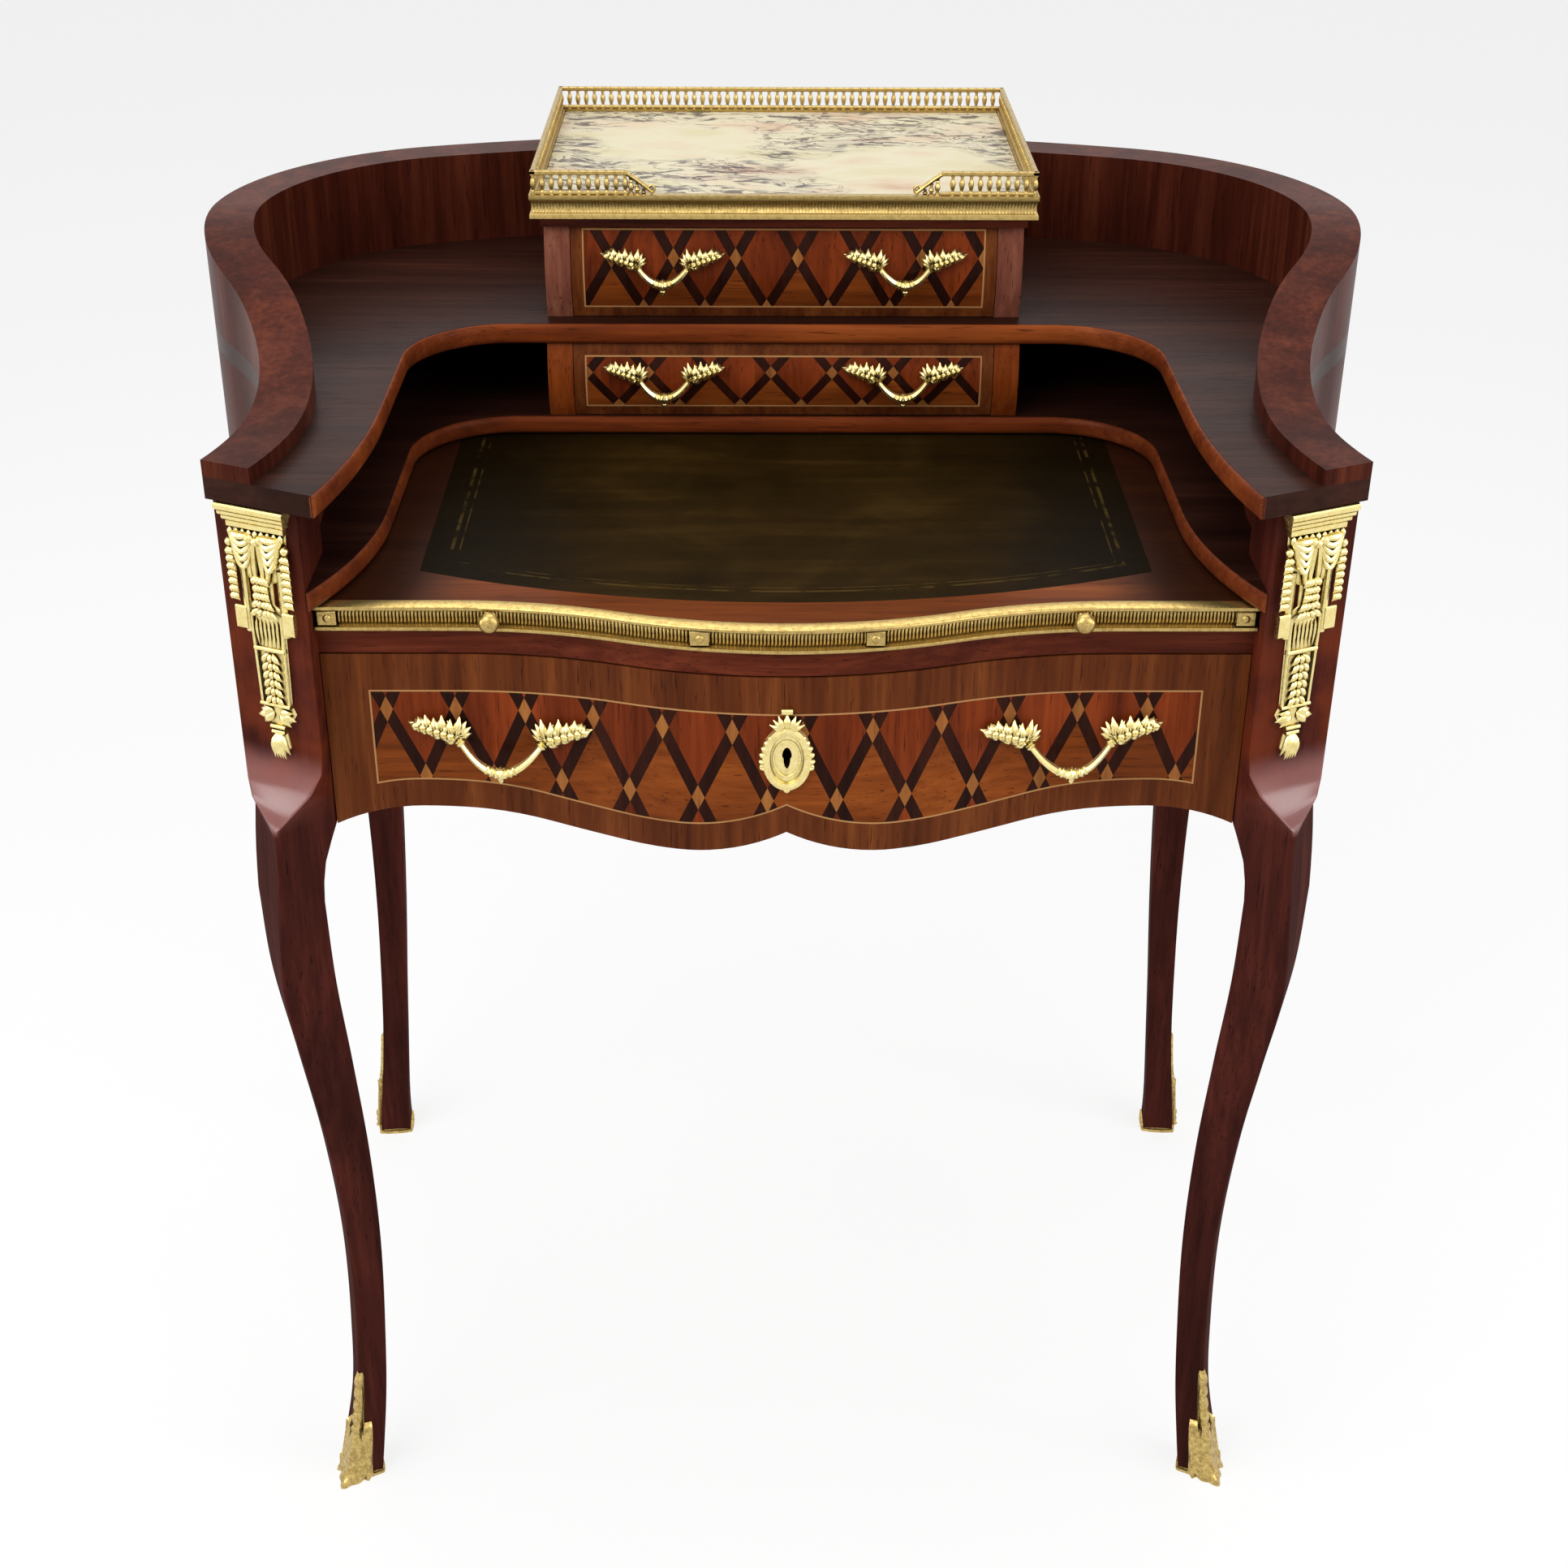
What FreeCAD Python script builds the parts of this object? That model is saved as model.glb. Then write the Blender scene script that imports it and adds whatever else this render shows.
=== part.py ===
# Kidney-shaped ladies writing desk as a parametric document, in millimetres.
# x runs to the right, y to the back and z up; the origin is on the floor under the middle of the desk.
import FreeCAD
import Part
import Sketcher
import os
import re

# Driving sizes
SIZES = {
    # Plan of the case: three arcs on each side, tangent to one another
    "half_width": 398, "bulge_radius": 190, "waist_in": 72, "waist_y": -173.5,
    "back_y": 296.5, "back_radius": 860, "wall": 33,
    # Canted front corners: turn of the face, its middle, and the ear over it
    "cant": 24, "face_in": 88.5, "face_y": -264.5, "ear_overhang": 7.4, "ear_in": 126,
    "post_in": 114, "post_deep": 51, "post_side_deep": 28, "post_inset_deep": 10,
    # Heights
    "lower_room": 53, "shelf_thick": 14, "board_top": 758, "board_thick": 12.5, "slide_gap": 1,
    "slide_thick": 17.5, "rail_gap": 0.3, "rail_thick": 17, "drawer_gap": 1.2, "case_bottom": 588,
    # Opening in front of the small drawers, shared by the shelf and the lower board
    "opening_in": 144, "opening_back": 24.5, "opening_corner": 68, "flare_y": -148.5,
    # Serpentine front
    "front_set_back": 9, "front_bulge": 32, "front_flat": 84, "front_thick": 24,
    # Gallery wall on the shelf, with its ramp
    "wall_low": 10, "wall_high": 65, "ramp_start": -218.5, "ramp_end": 91.5, "split_turn": 49.5,
    # Rear posts
    "rear_turn": 40, "rear_half": 9.5, "rear_proud": 3, "rear_side": 174,
    # Lower edges of the side and back walls
    "hem_rise": 10, "hem_margin": 24,
    # Writing slide
    "slide_side_gap": 0.6, "slide_back_in": 39, "leather_margin": 58, "leather_corner_in": 43,
    "leather_bow": 46, "leather_back": 118, "leather_thick": 1.5, "moulding_thick": 9,
    "moulding_high": 17, "bead_high": 3.6, "bead_proud": 3, "knob_in": 106, "knob_radius": 6.5,
    "knob_long": 13, "knob_gap": 0.3,
    # Frieze drawer
    "apron_deep": 123, "end_rise": 4, "apron_rise": 17, "apron_high_in": 56, "apron_low_x": 68,
    "cusp_rise": 16.5, "drawer_side_gap": 0.6, "drawer_back_in": 9, "drawer_side": 11, "drawer_box_gap": 2.4,
    "runner_thick": 10, "runner_rise": 20, "runner_in": 140, "runner_end_gap": 4, "runner_gap": 0.3,
    "drawer_bottom_thick": 7, "drawer_bottom_lift": 6, "drawer_top_drop": 9,
    # Lock of the frieze drawer
    "lock_half": 30, "lock_high": 44, "lock_thick": 14, "bolt_half": 11, "bolt_thick": 6, "bolt_high": 26,
    "bolt_travel": 7, "bolt_gap": 0.4, "keyhole_half": 2.6, "keyhole_high": 12, "keyhole_drop": 53.5,
    # Small drawers and their cheeks
    "nest_half": 146.5, "cheek_thick": 17.5, "nest_back": 246.5, "upper_set_back": 16, "lower_set_back": 2.5,
    "front_swell": 6, "small_gap": 0.5, "small_lift": 0.3, "small_front_thick": 18, "small_side": 8,
    "small_bottom": 5, "small_top_drop": 6, "small_back_in": 10,
    # Marble tray
    "tray_board_thick": 9, "tray_overhang": 8, "tray_set_back": 2, "tray_back": 283.5, "band_thick": 6,
    "band_low": 7, "band_high": 16, "marble_thick": 12, "marble_gap": 0.3,
    "gallery_high": 16, "gallery_rail": 2.6, "gallery_thick": 3, "baluster_wide": 3.2, "baluster_pitch": 6.4,
    "gallery_return": 62, "gallery_rake": 18,
    # Feet
    "arris": 0.8, "sabot_wall": 1.8, "sabot_front": 104, "sabot_back": 30, "sabot_lead": 14, "sabot_trail": 9,
    "sabot_span": 40,
    # Corner mounts
    "mount_drop": 0.5, "mount_high": 168, "mount_half": 24, "mount_thick": 5, "cap_high": 15,
    "cap_thick": 11, "cap_step": 4, "cap_back": 2, "cap_in": 6, "cap_cover": 1,
    "mount_waist": 11, "mount_taper": 4, "mount_foot": 13, "leaf_top": 23, "waist_top": 35,
    "swag_foot": 60, "swag_side": 54, "swag_top": 34, "swag_in": 3,
    "bud_tip": 4, "bud_half": 6, "bud_high": 8, "neck_half": 3, "neck_high": 15,
    # Handles
    "handle_down": 48.5, "handle_in": 108, "handle_span": 38, "handle_drop": 31, "handle_stem": 2.5,
    "handle_leaf": 21, "handle_tilt": 40, "handle_turn": 4.9, "handle_forward": 4.3, "leaf_thick": 4, "leaf_sink": 3,
    "small_handle_in": 63.5, "small_handle_span": 27, "small_handle_drop": 21.5, "small_handle_leaf": 17,
    "upper_handle_down": 21, "lower_handle_down": 18,
    "plate_half": 17, "plate_high": 24, "plate_crest": 11, "plate_thick": 3, "plate_tip": 3,
    "plate_neck": 7, "plate_shoulder": 0.78,
}

# Stations of the front legs from the floor up: step in height, middle from the corner's face, side of the square
FRONT_LEG = {
    "sole": (0, 13.5, 38, 27), "toe": (30, 8.5, 37.2, 24.8), "instep": (50, 1.4, 39.8, 21.5),
    "ankle": (60, -2.1, 43.3, 21.5), "shin": (80, -4.6, 43, 23.2), "calf": (90, -2.8, 36, 27),
    "thigh": (90, 2.2, 22.5, 32), "cap": (80, 7.4, 11.4, 36), "knee": (57, 8.5, 9, 36.5),
}
# The rear legs stand on the rays of the rounded ends: step in height, reach past the end's arc, side
REAR_LEG = {
    "sole": (0, 2, 27), "toe": (30, 0, 24.8), "instep": (50, -6, 22.4), "ankle": (60, -12, 21.5),
    "shin": (80, -18.5, 23), "calf": (90, -23.5, 26), "thigh": (90, -24.5, 30), "cap": (80, -22, 34),
    "knee": (57, -20, 38),
}
# Blend of the knee's square into the post above it: step in height, then the square's share at the two ends of the
# canted face, at the outer corners and at the inner corners of a front leg, and at all corners of a rear one
KNEE_BLEND = {
    "bracket": (14, 1, 1, 0.93, 0.93, 0.93), "haunch": (14, 1, 1, 0.84, 0.75, 0.85),
    "curl": (14, 1, 1, 0.72, 0.35, 0.68), "stop": (11, 1, 1, 0.6, 0, 0.54), "tip": (9, 1, 0.9, 0.5, 0, 0.42),
    "tongue": (9, 0.82, 0.1, 0.4, 0, 0.3), "swell": (13, 0.52, 0, 0.25, 0, 0.15),
    "neck": (14, 0.22, 0, 0.1, 0, 0.06), "post": (15, 0, 0, 0, 0, 0),
}
BLEND_SHARES = ("near", "far", "outer", "inner", "rear")
# Which share each corner of a section takes
FRONT_CORNERS = ("near", "far", "outer", "outer", "inner", "inner")
REAR_CORNERS = ("rear",) * 6

for station, (step, side_way, back_way, side) in FRONT_LEG.items():
    SIZES["front_" + station + "_step"] = step
    SIZES["front_" + station + "_sideways"] = side_way
    SIZES["front_" + station + "_backwards"] = back_way
    SIZES["front_" + station + "_side"] = side
for station, (step, reach, side) in REAR_LEG.items():
    SIZES["rear_" + station + "_step"] = step
    SIZES["rear_" + station + "_reach"] = reach
    SIZES["rear_" + station + "_side"] = side
for station, (step, *shares) in KNEE_BLEND.items():
    SIZES["blend_" + station + "_step"] = step
    for corner, share in zip(BLEND_SHARES, shares):
        SIZES["blend_%s_%s" % (station, corner)] = share

# Straight lengths in each half of a handle's bow
BOW_STEPS = 4
# Steps in the cap of a corner mount
CAP_STEPS = 3
# Outline of a leaf spray, along it and up, in shares of its length
LEAF_OUTLINE = ((-0.25, -0.16), (0.3, -0.34), (0.5, -0.14), (1.0, -0.02), (0.72, 0.24), (0.46, 0.52),
                (0.2, 0.28), (-0.25, 0.16))

# Places worked out from the sizes
PLACES = {
    "waist_half": "half_width - waist_in",
    "face_x": "half_width - face_in",
    "ear_inner": "half_width - ear_in",
    "post_inner": "half_width - post_in",
    "post_back": "face_y + post_deep",
    "post_side_y": "face_y + post_side_deep",
    "post_inset": "face_y + post_inset_deep",
    "opening_half": "half_width - opening_in",
    "runner_inner": "half_width - runner_in",
    "front_y": "face_y + front_set_back",
    "front_half": "post_inner - front_flat",
    "bulge_x": "half_width - bulge_radius",
    "back_middle": "back_y - back_radius",
    "bulge_y": "back_middle + sqrt((back_radius - bulge_radius)^2 - bulge_x^2)",
    "waist_radius": "((waist_half - bulge_x)^2 + (waist_y - bulge_y)^2 - bulge_radius^2)"
                    " / (2 * (bulge_radius - waist_half + bulge_x))",
    "waist_x": "waist_half + waist_radius",
    "post_reach": "face_x * sin(cant) - face_y * cos(cant)",
    "ear_reach": "post_reach + ear_overhang",
    "face_side": "face_x * cos(cant) + face_y * sin(cant)",
    "waist_side": "waist_x * cos(cant) + waist_y * sin(cant)",
    "waist_reach": "waist_x * sin(cant) - waist_y * cos(cant)",
    "post_corner": "waist_side - sqrt(waist_radius^2 - (waist_reach - post_reach)^2)",
    "post_x": "post_reach * sin(cant) + post_corner * cos(cant)",
    "post_y": "post_corner * sin(cant) - post_reach * cos(cant)",
    "ear_corner": "waist_side - sqrt(waist_radius^2 - (waist_reach - ear_reach)^2)",
    "ear_x": "ear_reach * sin(cant) + ear_corner * cos(cant)",
    "ear_y": "ear_corner * sin(cant) - ear_reach * cos(cant)",
    "rim_corner": "waist_side - sqrt((waist_radius + wall)^2 - (waist_reach - ear_reach)^2)",
    "rim_x": "ear_reach * sin(cant) + rim_corner * cos(cant)",
    "rim_y": "rim_corner * sin(cant) - ear_reach * cos(cant)",
    "ear_inner_y": "(ear_inner * sin(cant) - ear_reach) / cos(cant)",
    "post_inner_y": "(post_inner * sin(cant) - post_reach) / cos(cant)",
    "post_back_x": "waist_x - sqrt(waist_radius^2 - (post_back - waist_y)^2)",
    "post_side_x": "waist_x - sqrt(waist_radius^2 - (post_side_y - waist_y)^2)",
    "wall_front_x": "waist_x - sqrt((waist_radius + wall)^2 - (post_back - waist_y)^2)",
    "shelf_bottom": "board_top + lower_room",
    "shelf_top": "shelf_bottom + shelf_thick",
    "board_bottom": "board_top - board_thick",
    "slide_top": "board_bottom - slide_gap",
    "slide_bottom": "slide_top - slide_thick",
    "rail_top": "slide_bottom - rail_gap",
    "rail_bottom": "rail_top - rail_thick",
    "drawer_top": "rail_bottom - drawer_gap",
    "wall_top": "shelf_top + wall_high",
    "tray_floor": "wall_top + tray_board_thick",
    "band_bottom": "wall_top + band_low",
    "band_top": "band_bottom + band_high",
    "front_arc": "(front_half^2 + front_bulge^2) / (4 * front_bulge)",
    "front_mid_y": "front_y - front_bulge / 2",
    "flare_shelf": "((flare_y - ear_inner_y)^2 + (ear_inner - opening_half)^2) / (2 * (ear_inner - opening_half))",
    "flare_board": "((flare_y - post_inner_y)^2 + (post_inner - opening_half)^2)"
                   " / (2 * (post_inner - opening_half))",
    "ramp_half": "(ramp_end - ramp_start) / 2",
    "ramp_rise": "(wall_high - wall_low) / 2",
    "ramp_arc": "(ramp_half^2 + ramp_rise^2) / (2 * ramp_rise)",
    "runner_top": "case_bottom + runner_rise",
    "runner_end": "bulge_y + (bulge_radius - wall) / cos(rear_half) * sin(rear_turn + rear_half) - runner_end_gap",
    "slide_back": "runner_end - slide_back_in",
    "drawer_back": "runner_end - drawer_back_in",
    "leather_half": "post_inner - leather_margin",
    "leather_corner_y": "front_y + leather_corner_in",
    "leather_arc": "(leather_half^2 + leather_bow^2) / (2 * leather_bow)",
    "knob_x": "post_inner - knob_in",
    "apron_low": "drawer_top - apron_deep",
    "apron_end": "apron_low + end_rise",
    "apron_high": "apron_low + apron_rise",
    "apron_cusp": "apron_low + cusp_rise",
    "apron_high_x": "post_inner - apron_high_in",
    "handle_x": "post_inner - handle_in",
    "handle_z": "drawer_top - handle_down",
    "keyhole_z": "drawer_top - keyhole_drop",
    "lock_y": "front_y - front_bulge + front_thick",
    "upper_front_y": "opening_back + upper_set_back",
    "lower_front_y": "opening_back + lower_set_back",
    "small_back_y": "nest_back - small_back_in",
    "small_handle_x": "nest_half - small_handle_in",
    "upper_handle_z": "wall_top - upper_handle_down",
    "lower_handle_z": "shelf_bottom - lower_handle_down",
    "tray_half": "nest_half + cheek_thick + tray_overhang",
    "tray_front": "opening_back + tray_set_back",
    "mount_top": "shelf_bottom - mount_drop",
}

# Heights of the legs' stations, each a step above the one below it
for stem, stations in (("front", FRONT_LEG), ("rear", REAR_LEG)):
    below = "0"
    for station in stations:
        PLACES["%s_%s_z" % (stem, station)] = "%s + %s_%s_step" % (below, stem, station)
        below = "%s_%s_z" % (stem, station)
    for station in KNEE_BLEND:
        PLACES["%s_%s_z" % (stem, station)] = "%s + blend_%s_step" % (below, station)
        below = "%s_%s_z" % (stem, station)

WORD = re.compile(r"[a-z_]+")
doc = FreeCAD.newDocument("LadiesDesk")
pieces = {}


def linked(expression):
    """Return an expression with its names pointing at the two sheets."""
    def point(match):
        name = match.group(0)
        if name in SIZES:
            return "Sizes." + name
        if name in PLACES:
            return "Places." + name
        return name
    return WORD.sub(point, expression)


def fill_sheets():
    """Write the driving sizes and the worked-out places into two sheets."""
    sizes = doc.addObject("Spreadsheet::Sheet", "Sizes")
    for row, (name, number) in enumerate(SIZES.items(), 1):
        sizes.set("A%d" % row, name)
        sizes.set("B%d" % row, str(number))
        sizes.setAlias("B%d" % row, name)
    doc.recompute()
    places = doc.addObject("Spreadsheet::Sheet", "Places")
    for row, name in enumerate(PLACES, 1):
        places.setAlias("B%d" % row, name)
    for row, (name, formula) in enumerate(PLACES.items(), 1):
        places.set("A%d" % row, name)
        places.set("B%d" % row, "=" + linked(formula))
    doc.recompute()
    return places


def number(expression):
    """Return what an expression is worth now."""
    return float(sheet.evalExpression(linked(expression)))


def bind(thing, setting, expression):
    """Tie one setting of an object to the sheets."""
    thing.setExpression(setting, linked(expression))


def new_body(name):
    return doc.addObject("PartDesign::Body", name)


def new_sketch(body, name, role="XY_Plane", lift="0"):
    """Add a sketch on one of the body's own planes, lifted along the plane's normal."""
    sketch = body.newObject("Sketcher::SketchObject", name)
    plane = [feature for feature in body.Origin.OriginFeatures if feature.Role == role][0]
    sketch.AttachmentSupport = (plane, [""])
    sketch.MapMode = "FlatFace"
    bind(sketch, "AttachmentOffset.Base.z", lift)
    return sketch


def hold(sketch, kind, where, expression):
    """Add one dimension to a sketch and tie it to the sheets."""
    index = sketch.addConstraint(Sketcher.Constraint(kind, *where, number(expression)))
    sketch.setExpression("Constraints[%d]" % index, linked(expression))


def arc_between(first, last, radius, side):
    """Return the short arc from first to last whose middle lies to the left (1) or right (-1) of the way."""
    chord = last - first
    across = FreeCAD.Vector(-chord.y, chord.x, 0).normalize()
    rise = (radius * radius - chord.Length ** 2 / 4) ** 0.5
    middle = (first + last) / 2 + across * side * rise
    circle = Part.Circle(middle, FreeCAD.Vector(0, 0, 1), radius)
    ends = (first, last) if side > 0 else (last, first)
    return Part.ArcOfCircle(circle, circle.parameter(ends[0]), circle.parameter(ends[1]))


def draw_path(sketch, corners, edges, closed=True):
    """Draw lines and arcs through corners given as expressions; an edge is None or (radius, side)."""
    points = [FreeCAD.Vector(number(x), number(y), 0) for x, y in corners]
    starts = []
    ends = []
    for index, edge in enumerate(edges):
        first = points[index]
        last = points[(index + 1) % len(points)]
        if edge is None:
            curve = sketch.addGeometry(Part.LineSegment(first, last), False)
            starts.append((curve, 1))
            ends.append((curve, 2))
        else:
            radius, side = edge
            curve = sketch.addGeometry(arc_between(first, last, number(radius), side), False)
            starts.append((curve, 1 if side > 0 else 2))
            ends.append((curve, 2 if side > 0 else 1))
    for index in range(len(edges) if closed else len(edges) - 1):
        following = (index + 1) % len(edges)
        sketch.addConstraint(Sketcher.Constraint("Coincident", *ends[index], *starts[following]))
    for index, (x, y) in enumerate(corners):
        where = starts[index] if index < len(edges) else ends[-1]
        hold(sketch, "DistanceX", where, x)
        hold(sketch, "DistanceY", where, y)
    for index, edge in enumerate(edges):
        if edge is not None:
            hold(sketch, "Radius", (starts[index][0],), edge[0])
    doc.recompute()


def draw_polygon(sketch, x, y, radius, sides):
    """Draw a regular polygon about a middle, with a radius to its corners."""
    turns = [360 / sides * side for side in range(sides)]
    corners = [("%s + %s * cos(%s)" % (x, radius, turn), "%s + %s * sin(%s)" % (y, radius, turn))
               for turn in turns]
    draw_path(sketch, corners, [None] * sides)


def draw_box(sketch, left, low, right, high):
    """Draw a rectangle between four expressions."""
    draw_path(sketch, [(left, low), (right, low), (right, high), (left, high)], [None] * 4)


def pad(body, sketch, length, symmetric=False, backwards=False):
    """Pad a sketch along its normal."""
    feature = body.newObject("PartDesign::Pad", sketch.Name + "_pad")
    feature.Profile = sketch
    feature.Reversed = backwards
    if symmetric:
        feature.SideType = "Symmetric"
    bind(feature, "Length", length)
    doc.recompute()
    return feature


def pocket(body, sketch, length, symmetric=False, backwards=False):
    """Cut a sketch out of its body and make sure that it took something away."""
    before = body.Shape.Volume
    feature = body.newObject("PartDesign::Pocket", sketch.Name + "_cut")
    feature.Profile = sketch
    feature.Reversed = backwards
    if symmetric:
        feature.SideType = "Symmetric"
    bind(feature, "Length", length)
    doc.recompute()
    if body.Shape.Volume > before - 0.01:
        raise RuntimeError(sketch.Name + " cuts nothing")
    return feature


def combine(kind, name, base, tool):
    """Make a Part::Cut, Part::Common or Part::Fuse of two objects."""
    result = doc.addObject("Part::" + kind, name)
    result.Base = base
    result.Tool = tool
    doc.recompute()
    return result


def box(name, x_low, x_high, y_low, y_high, z_low, z_high):
    """Make a block between six expressions."""
    block = doc.addObject("Part::Box", name)
    bind(block, "Length", "(%s) - (%s)" % (x_high, x_low))
    bind(block, "Width", "(%s) - (%s)" % (y_high, y_low))
    bind(block, "Height", "(%s) - (%s)" % (z_high, z_low))
    bind(block, "Placement.Base.x", x_low)
    bind(block, "Placement.Base.y", y_low)
    bind(block, "Placement.Base.z", z_low)
    return block


def place(thing, x, y, z, turn="0"):
    """Move an object and turn it about the vertical."""
    bind(thing, "Placement.Base.x", x)
    bind(thing, "Placement.Base.y", y)
    bind(thing, "Placement.Base.z", z)
    bind(thing, "Placement.Rotation.Angle", turn)


def mirror(name, source):
    """Make the left-hand copy of a right-hand piece."""
    copy = doc.addObject("Part::Mirroring", name)
    copy.Source = source
    copy.Normal = FreeCAD.Vector(1, 0, 0)
    return copy


def piece(label, thing):
    """Give a finished object its label and list it for export."""
    thing.Label = label
    pieces[label] = thing
    return thing


def pair(stem, thing):
    """List a right-hand piece and its mirrored left-hand twin."""
    piece(stem + "_right", thing)
    piece(stem + "_left", mirror(stem + "_left", thing))


def minus(expression):
    return "-(%s)" % expression


def both_sides(right, edges, across):
    """Close an outline from its right half: the far ends are joined by the edge across, the near ones by a line."""
    left = [(minus(x), y) for x, y in reversed(right)]
    return right + left, edges + [across] + list(reversed(edges)) + [None]


def polar(radius, turn):
    """Return the point of a rounded end at a radius and a turn from the x axis."""
    x = "bulge_x + (%s) * cos(%s)" % (radius, turn)
    y = "bulge_y + (%s) * sin(%s)" % (radius, turn)
    return x, y


def bulge_to_waist(inset):
    """Return where the rounded end meets the waist, on the outline moved in by inset."""
    share = "(bulge_radius - (%s)) / (bulge_radius + waist_radius)" % inset
    x = "bulge_x + (waist_x - bulge_x) * " + share
    y = "bulge_y + (waist_y - bulge_y) * " + share
    return x, y


def bulge_to_back(inset):
    """Return where the rounded end meets the back, on the outline moved in by inset."""
    share = "(bulge_radius - (%s)) / (back_radius - bulge_radius)" % inset
    x = "bulge_x * (1 + %s)" % share
    y = "bulge_y + (bulge_y - back_middle) * " + share
    return x, y


OUTER_WAIST = ("waist_radius", -1)
OUTER_BULGE = ("bulge_radius", 1)
OUTER_BACK = ("back_radius", 1)
INNER_WAIST = ("waist_radius + wall", -1)
INNER_BULGE = ("bulge_radius - wall", 1)
INNER_BACK = ("back_radius - wall", 1)


def turned(edge):
    """Return an arc walked the other way."""
    return edge[0], -edge[1]


def serpentine(shift):
    """Return the corners and edges of the serpentine front from right to left, moved back by shift."""
    half = "front_half / 2"
    ends = "front_y + (%s)" % shift
    middle = "front_mid_y + (%s)" % shift
    corners = [("front_half", ends), (half, middle), (minus(half), middle), (minus("front_half"), ends)]
    edges = [("front_arc", 1), ("front_arc", -1), ("front_arc", 1)]
    return corners, edges


def serpentine_slab(body, name, half, shift, back_y, low, high):
    """Pad a board with a serpentine front and a straight back."""
    curve, curve_edges = serpentine(shift)
    ends = "front_y + (%s)" % shift
    corners = [(half, ends)] + curve + [(minus(half), ends), (minus(half), back_y), (half, back_y)]
    sketch = new_sketch(body, name + "_plan", "XY_Plane", low)
    draw_path(sketch, corners, [None] + curve_edges + [None] * 4)
    pad(body, sketch, "(%s) - (%s)" % (high, low))


def serpentine_strip(body, name, half, shift, thick, low, high):
    """Pad a strip that is serpentine before and behind."""
    near, near_edges = serpentine(shift)
    far, far_edges = serpentine("(%s) + (%s)" % (shift, thick))
    front = "front_y + (%s)" % shift
    behind = "front_y + (%s) + (%s)" % (shift, thick)
    corners = [(half, front)] + near + [(minus(half), front), (minus(half), behind)]
    corners = corners + list(reversed(far)) + [(half, behind)]
    edges = [None] + near_edges + [None] * 3 + [turned(edge) for edge in reversed(far_edges)] + [None] * 2
    sketch = new_sketch(body, name + "_plan", "XY_Plane", low)
    draw_path(sketch, corners, edges)
    pad(body, sketch, "(%s) - (%s)" % (high, low))


def arch_cut(body, name, role, first, last, low, rise, through):
    """Hollow the lower edge of a wall by a shallow arch."""
    half = "((%s) - (%s)) / 2" % (last, first)
    radius = "((%s)^2 + (%s)^2) / (2 * (%s))" % (half, rise, rise)
    sketch = new_sketch(body, name, role)
    draw_path(sketch, [(first, low), (last, low)], [None, (radius, 1)])
    pocket(body, sketch, through, symmetric=True)


def swelled(body, name, front, back, low, high, lift, length, symmetric=False):
    """Pad an upright whose front swells forward in a shallow arc from low to high."""
    half = "((%s) - (%s)) / 2" % (high, low)
    radius = "((%s)^2 + front_swell^2) / (2 * front_swell)" % half
    sketch = new_sketch(body, name, "YZ_Plane", lift)
    corners = [(front, low), (back, low), (back, high), (front, high)]
    draw_path(sketch, corners, [None, None, None, (radius, 1)])
    pad(body, sketch, length, symmetric)


# Kidney-shaped boards
opening = [("opening_half - opening_corner", "opening_back"),
           ("opening_half", "opening_back - opening_corner"),
           ("opening_half", "flare_y")]


def make_upper_shelf():
    body = new_body("upper_shelf")
    right = opening + [("ear_inner", "ear_inner_y"), ("ear_x", "ear_y"), bulge_to_waist("0"),
                       bulge_to_back("0")]
    edges = [("opening_corner", -1), None, ("flare_shelf", 1), None, OUTER_WAIST, OUTER_BULGE]
    sketch = new_sketch(body, "shelf_plan", "XY_Plane", "shelf_bottom")
    draw_path(sketch, *both_sides(right, edges, OUTER_BACK))
    pad(body, sketch, "shelf_thick")
    piece("upper_shelf", body)


def make_lower_board():
    body = new_body("lower_board")
    right = opening + [("post_inner", "post_inner_y"), ("post_inner", "post_back"), ("wall_front_x", "post_back"),
                       bulge_to_waist("wall"), bulge_to_back("wall")]
    edges = [("opening_corner", -1), None, ("flare_board", 1), None, None, INNER_WAIST, INNER_BULGE]
    sketch = new_sketch(body, "board_plan", "XY_Plane", "board_bottom")
    draw_path(sketch, *both_sides(right, edges, INNER_BACK))
    pad(body, sketch, "board_thick")
    piece("lower_board", body)


# Curved walls
def make_side_walls():
    body = new_body("side_wall_right")
    end = "rear_turn - rear_half"
    corners = [("post_back_x", "post_back"), bulge_to_waist("0"), polar("bulge_radius", end),
               polar("bulge_radius - wall", end), bulge_to_waist("wall"), ("wall_front_x", "post_back")]
    edges = [OUTER_WAIST, OUTER_BULGE, None, turned(INNER_BULGE), turned(INNER_WAIST), None]
    sketch = new_sketch(body, "side_wall_plan", "XY_Plane", "case_bottom")
    draw_path(sketch, corners, edges)
    pad(body, sketch, "shelf_bottom - case_bottom")
    last = "(%s) - hem_margin" % polar("bulge_radius", end)[1]
    arch_cut(body, "side_hem", "YZ_Plane", "post_back + hem_margin", last, "case_bottom", "hem_rise",
             "3 * half_width")
    pair("side_wall", body)


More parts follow.
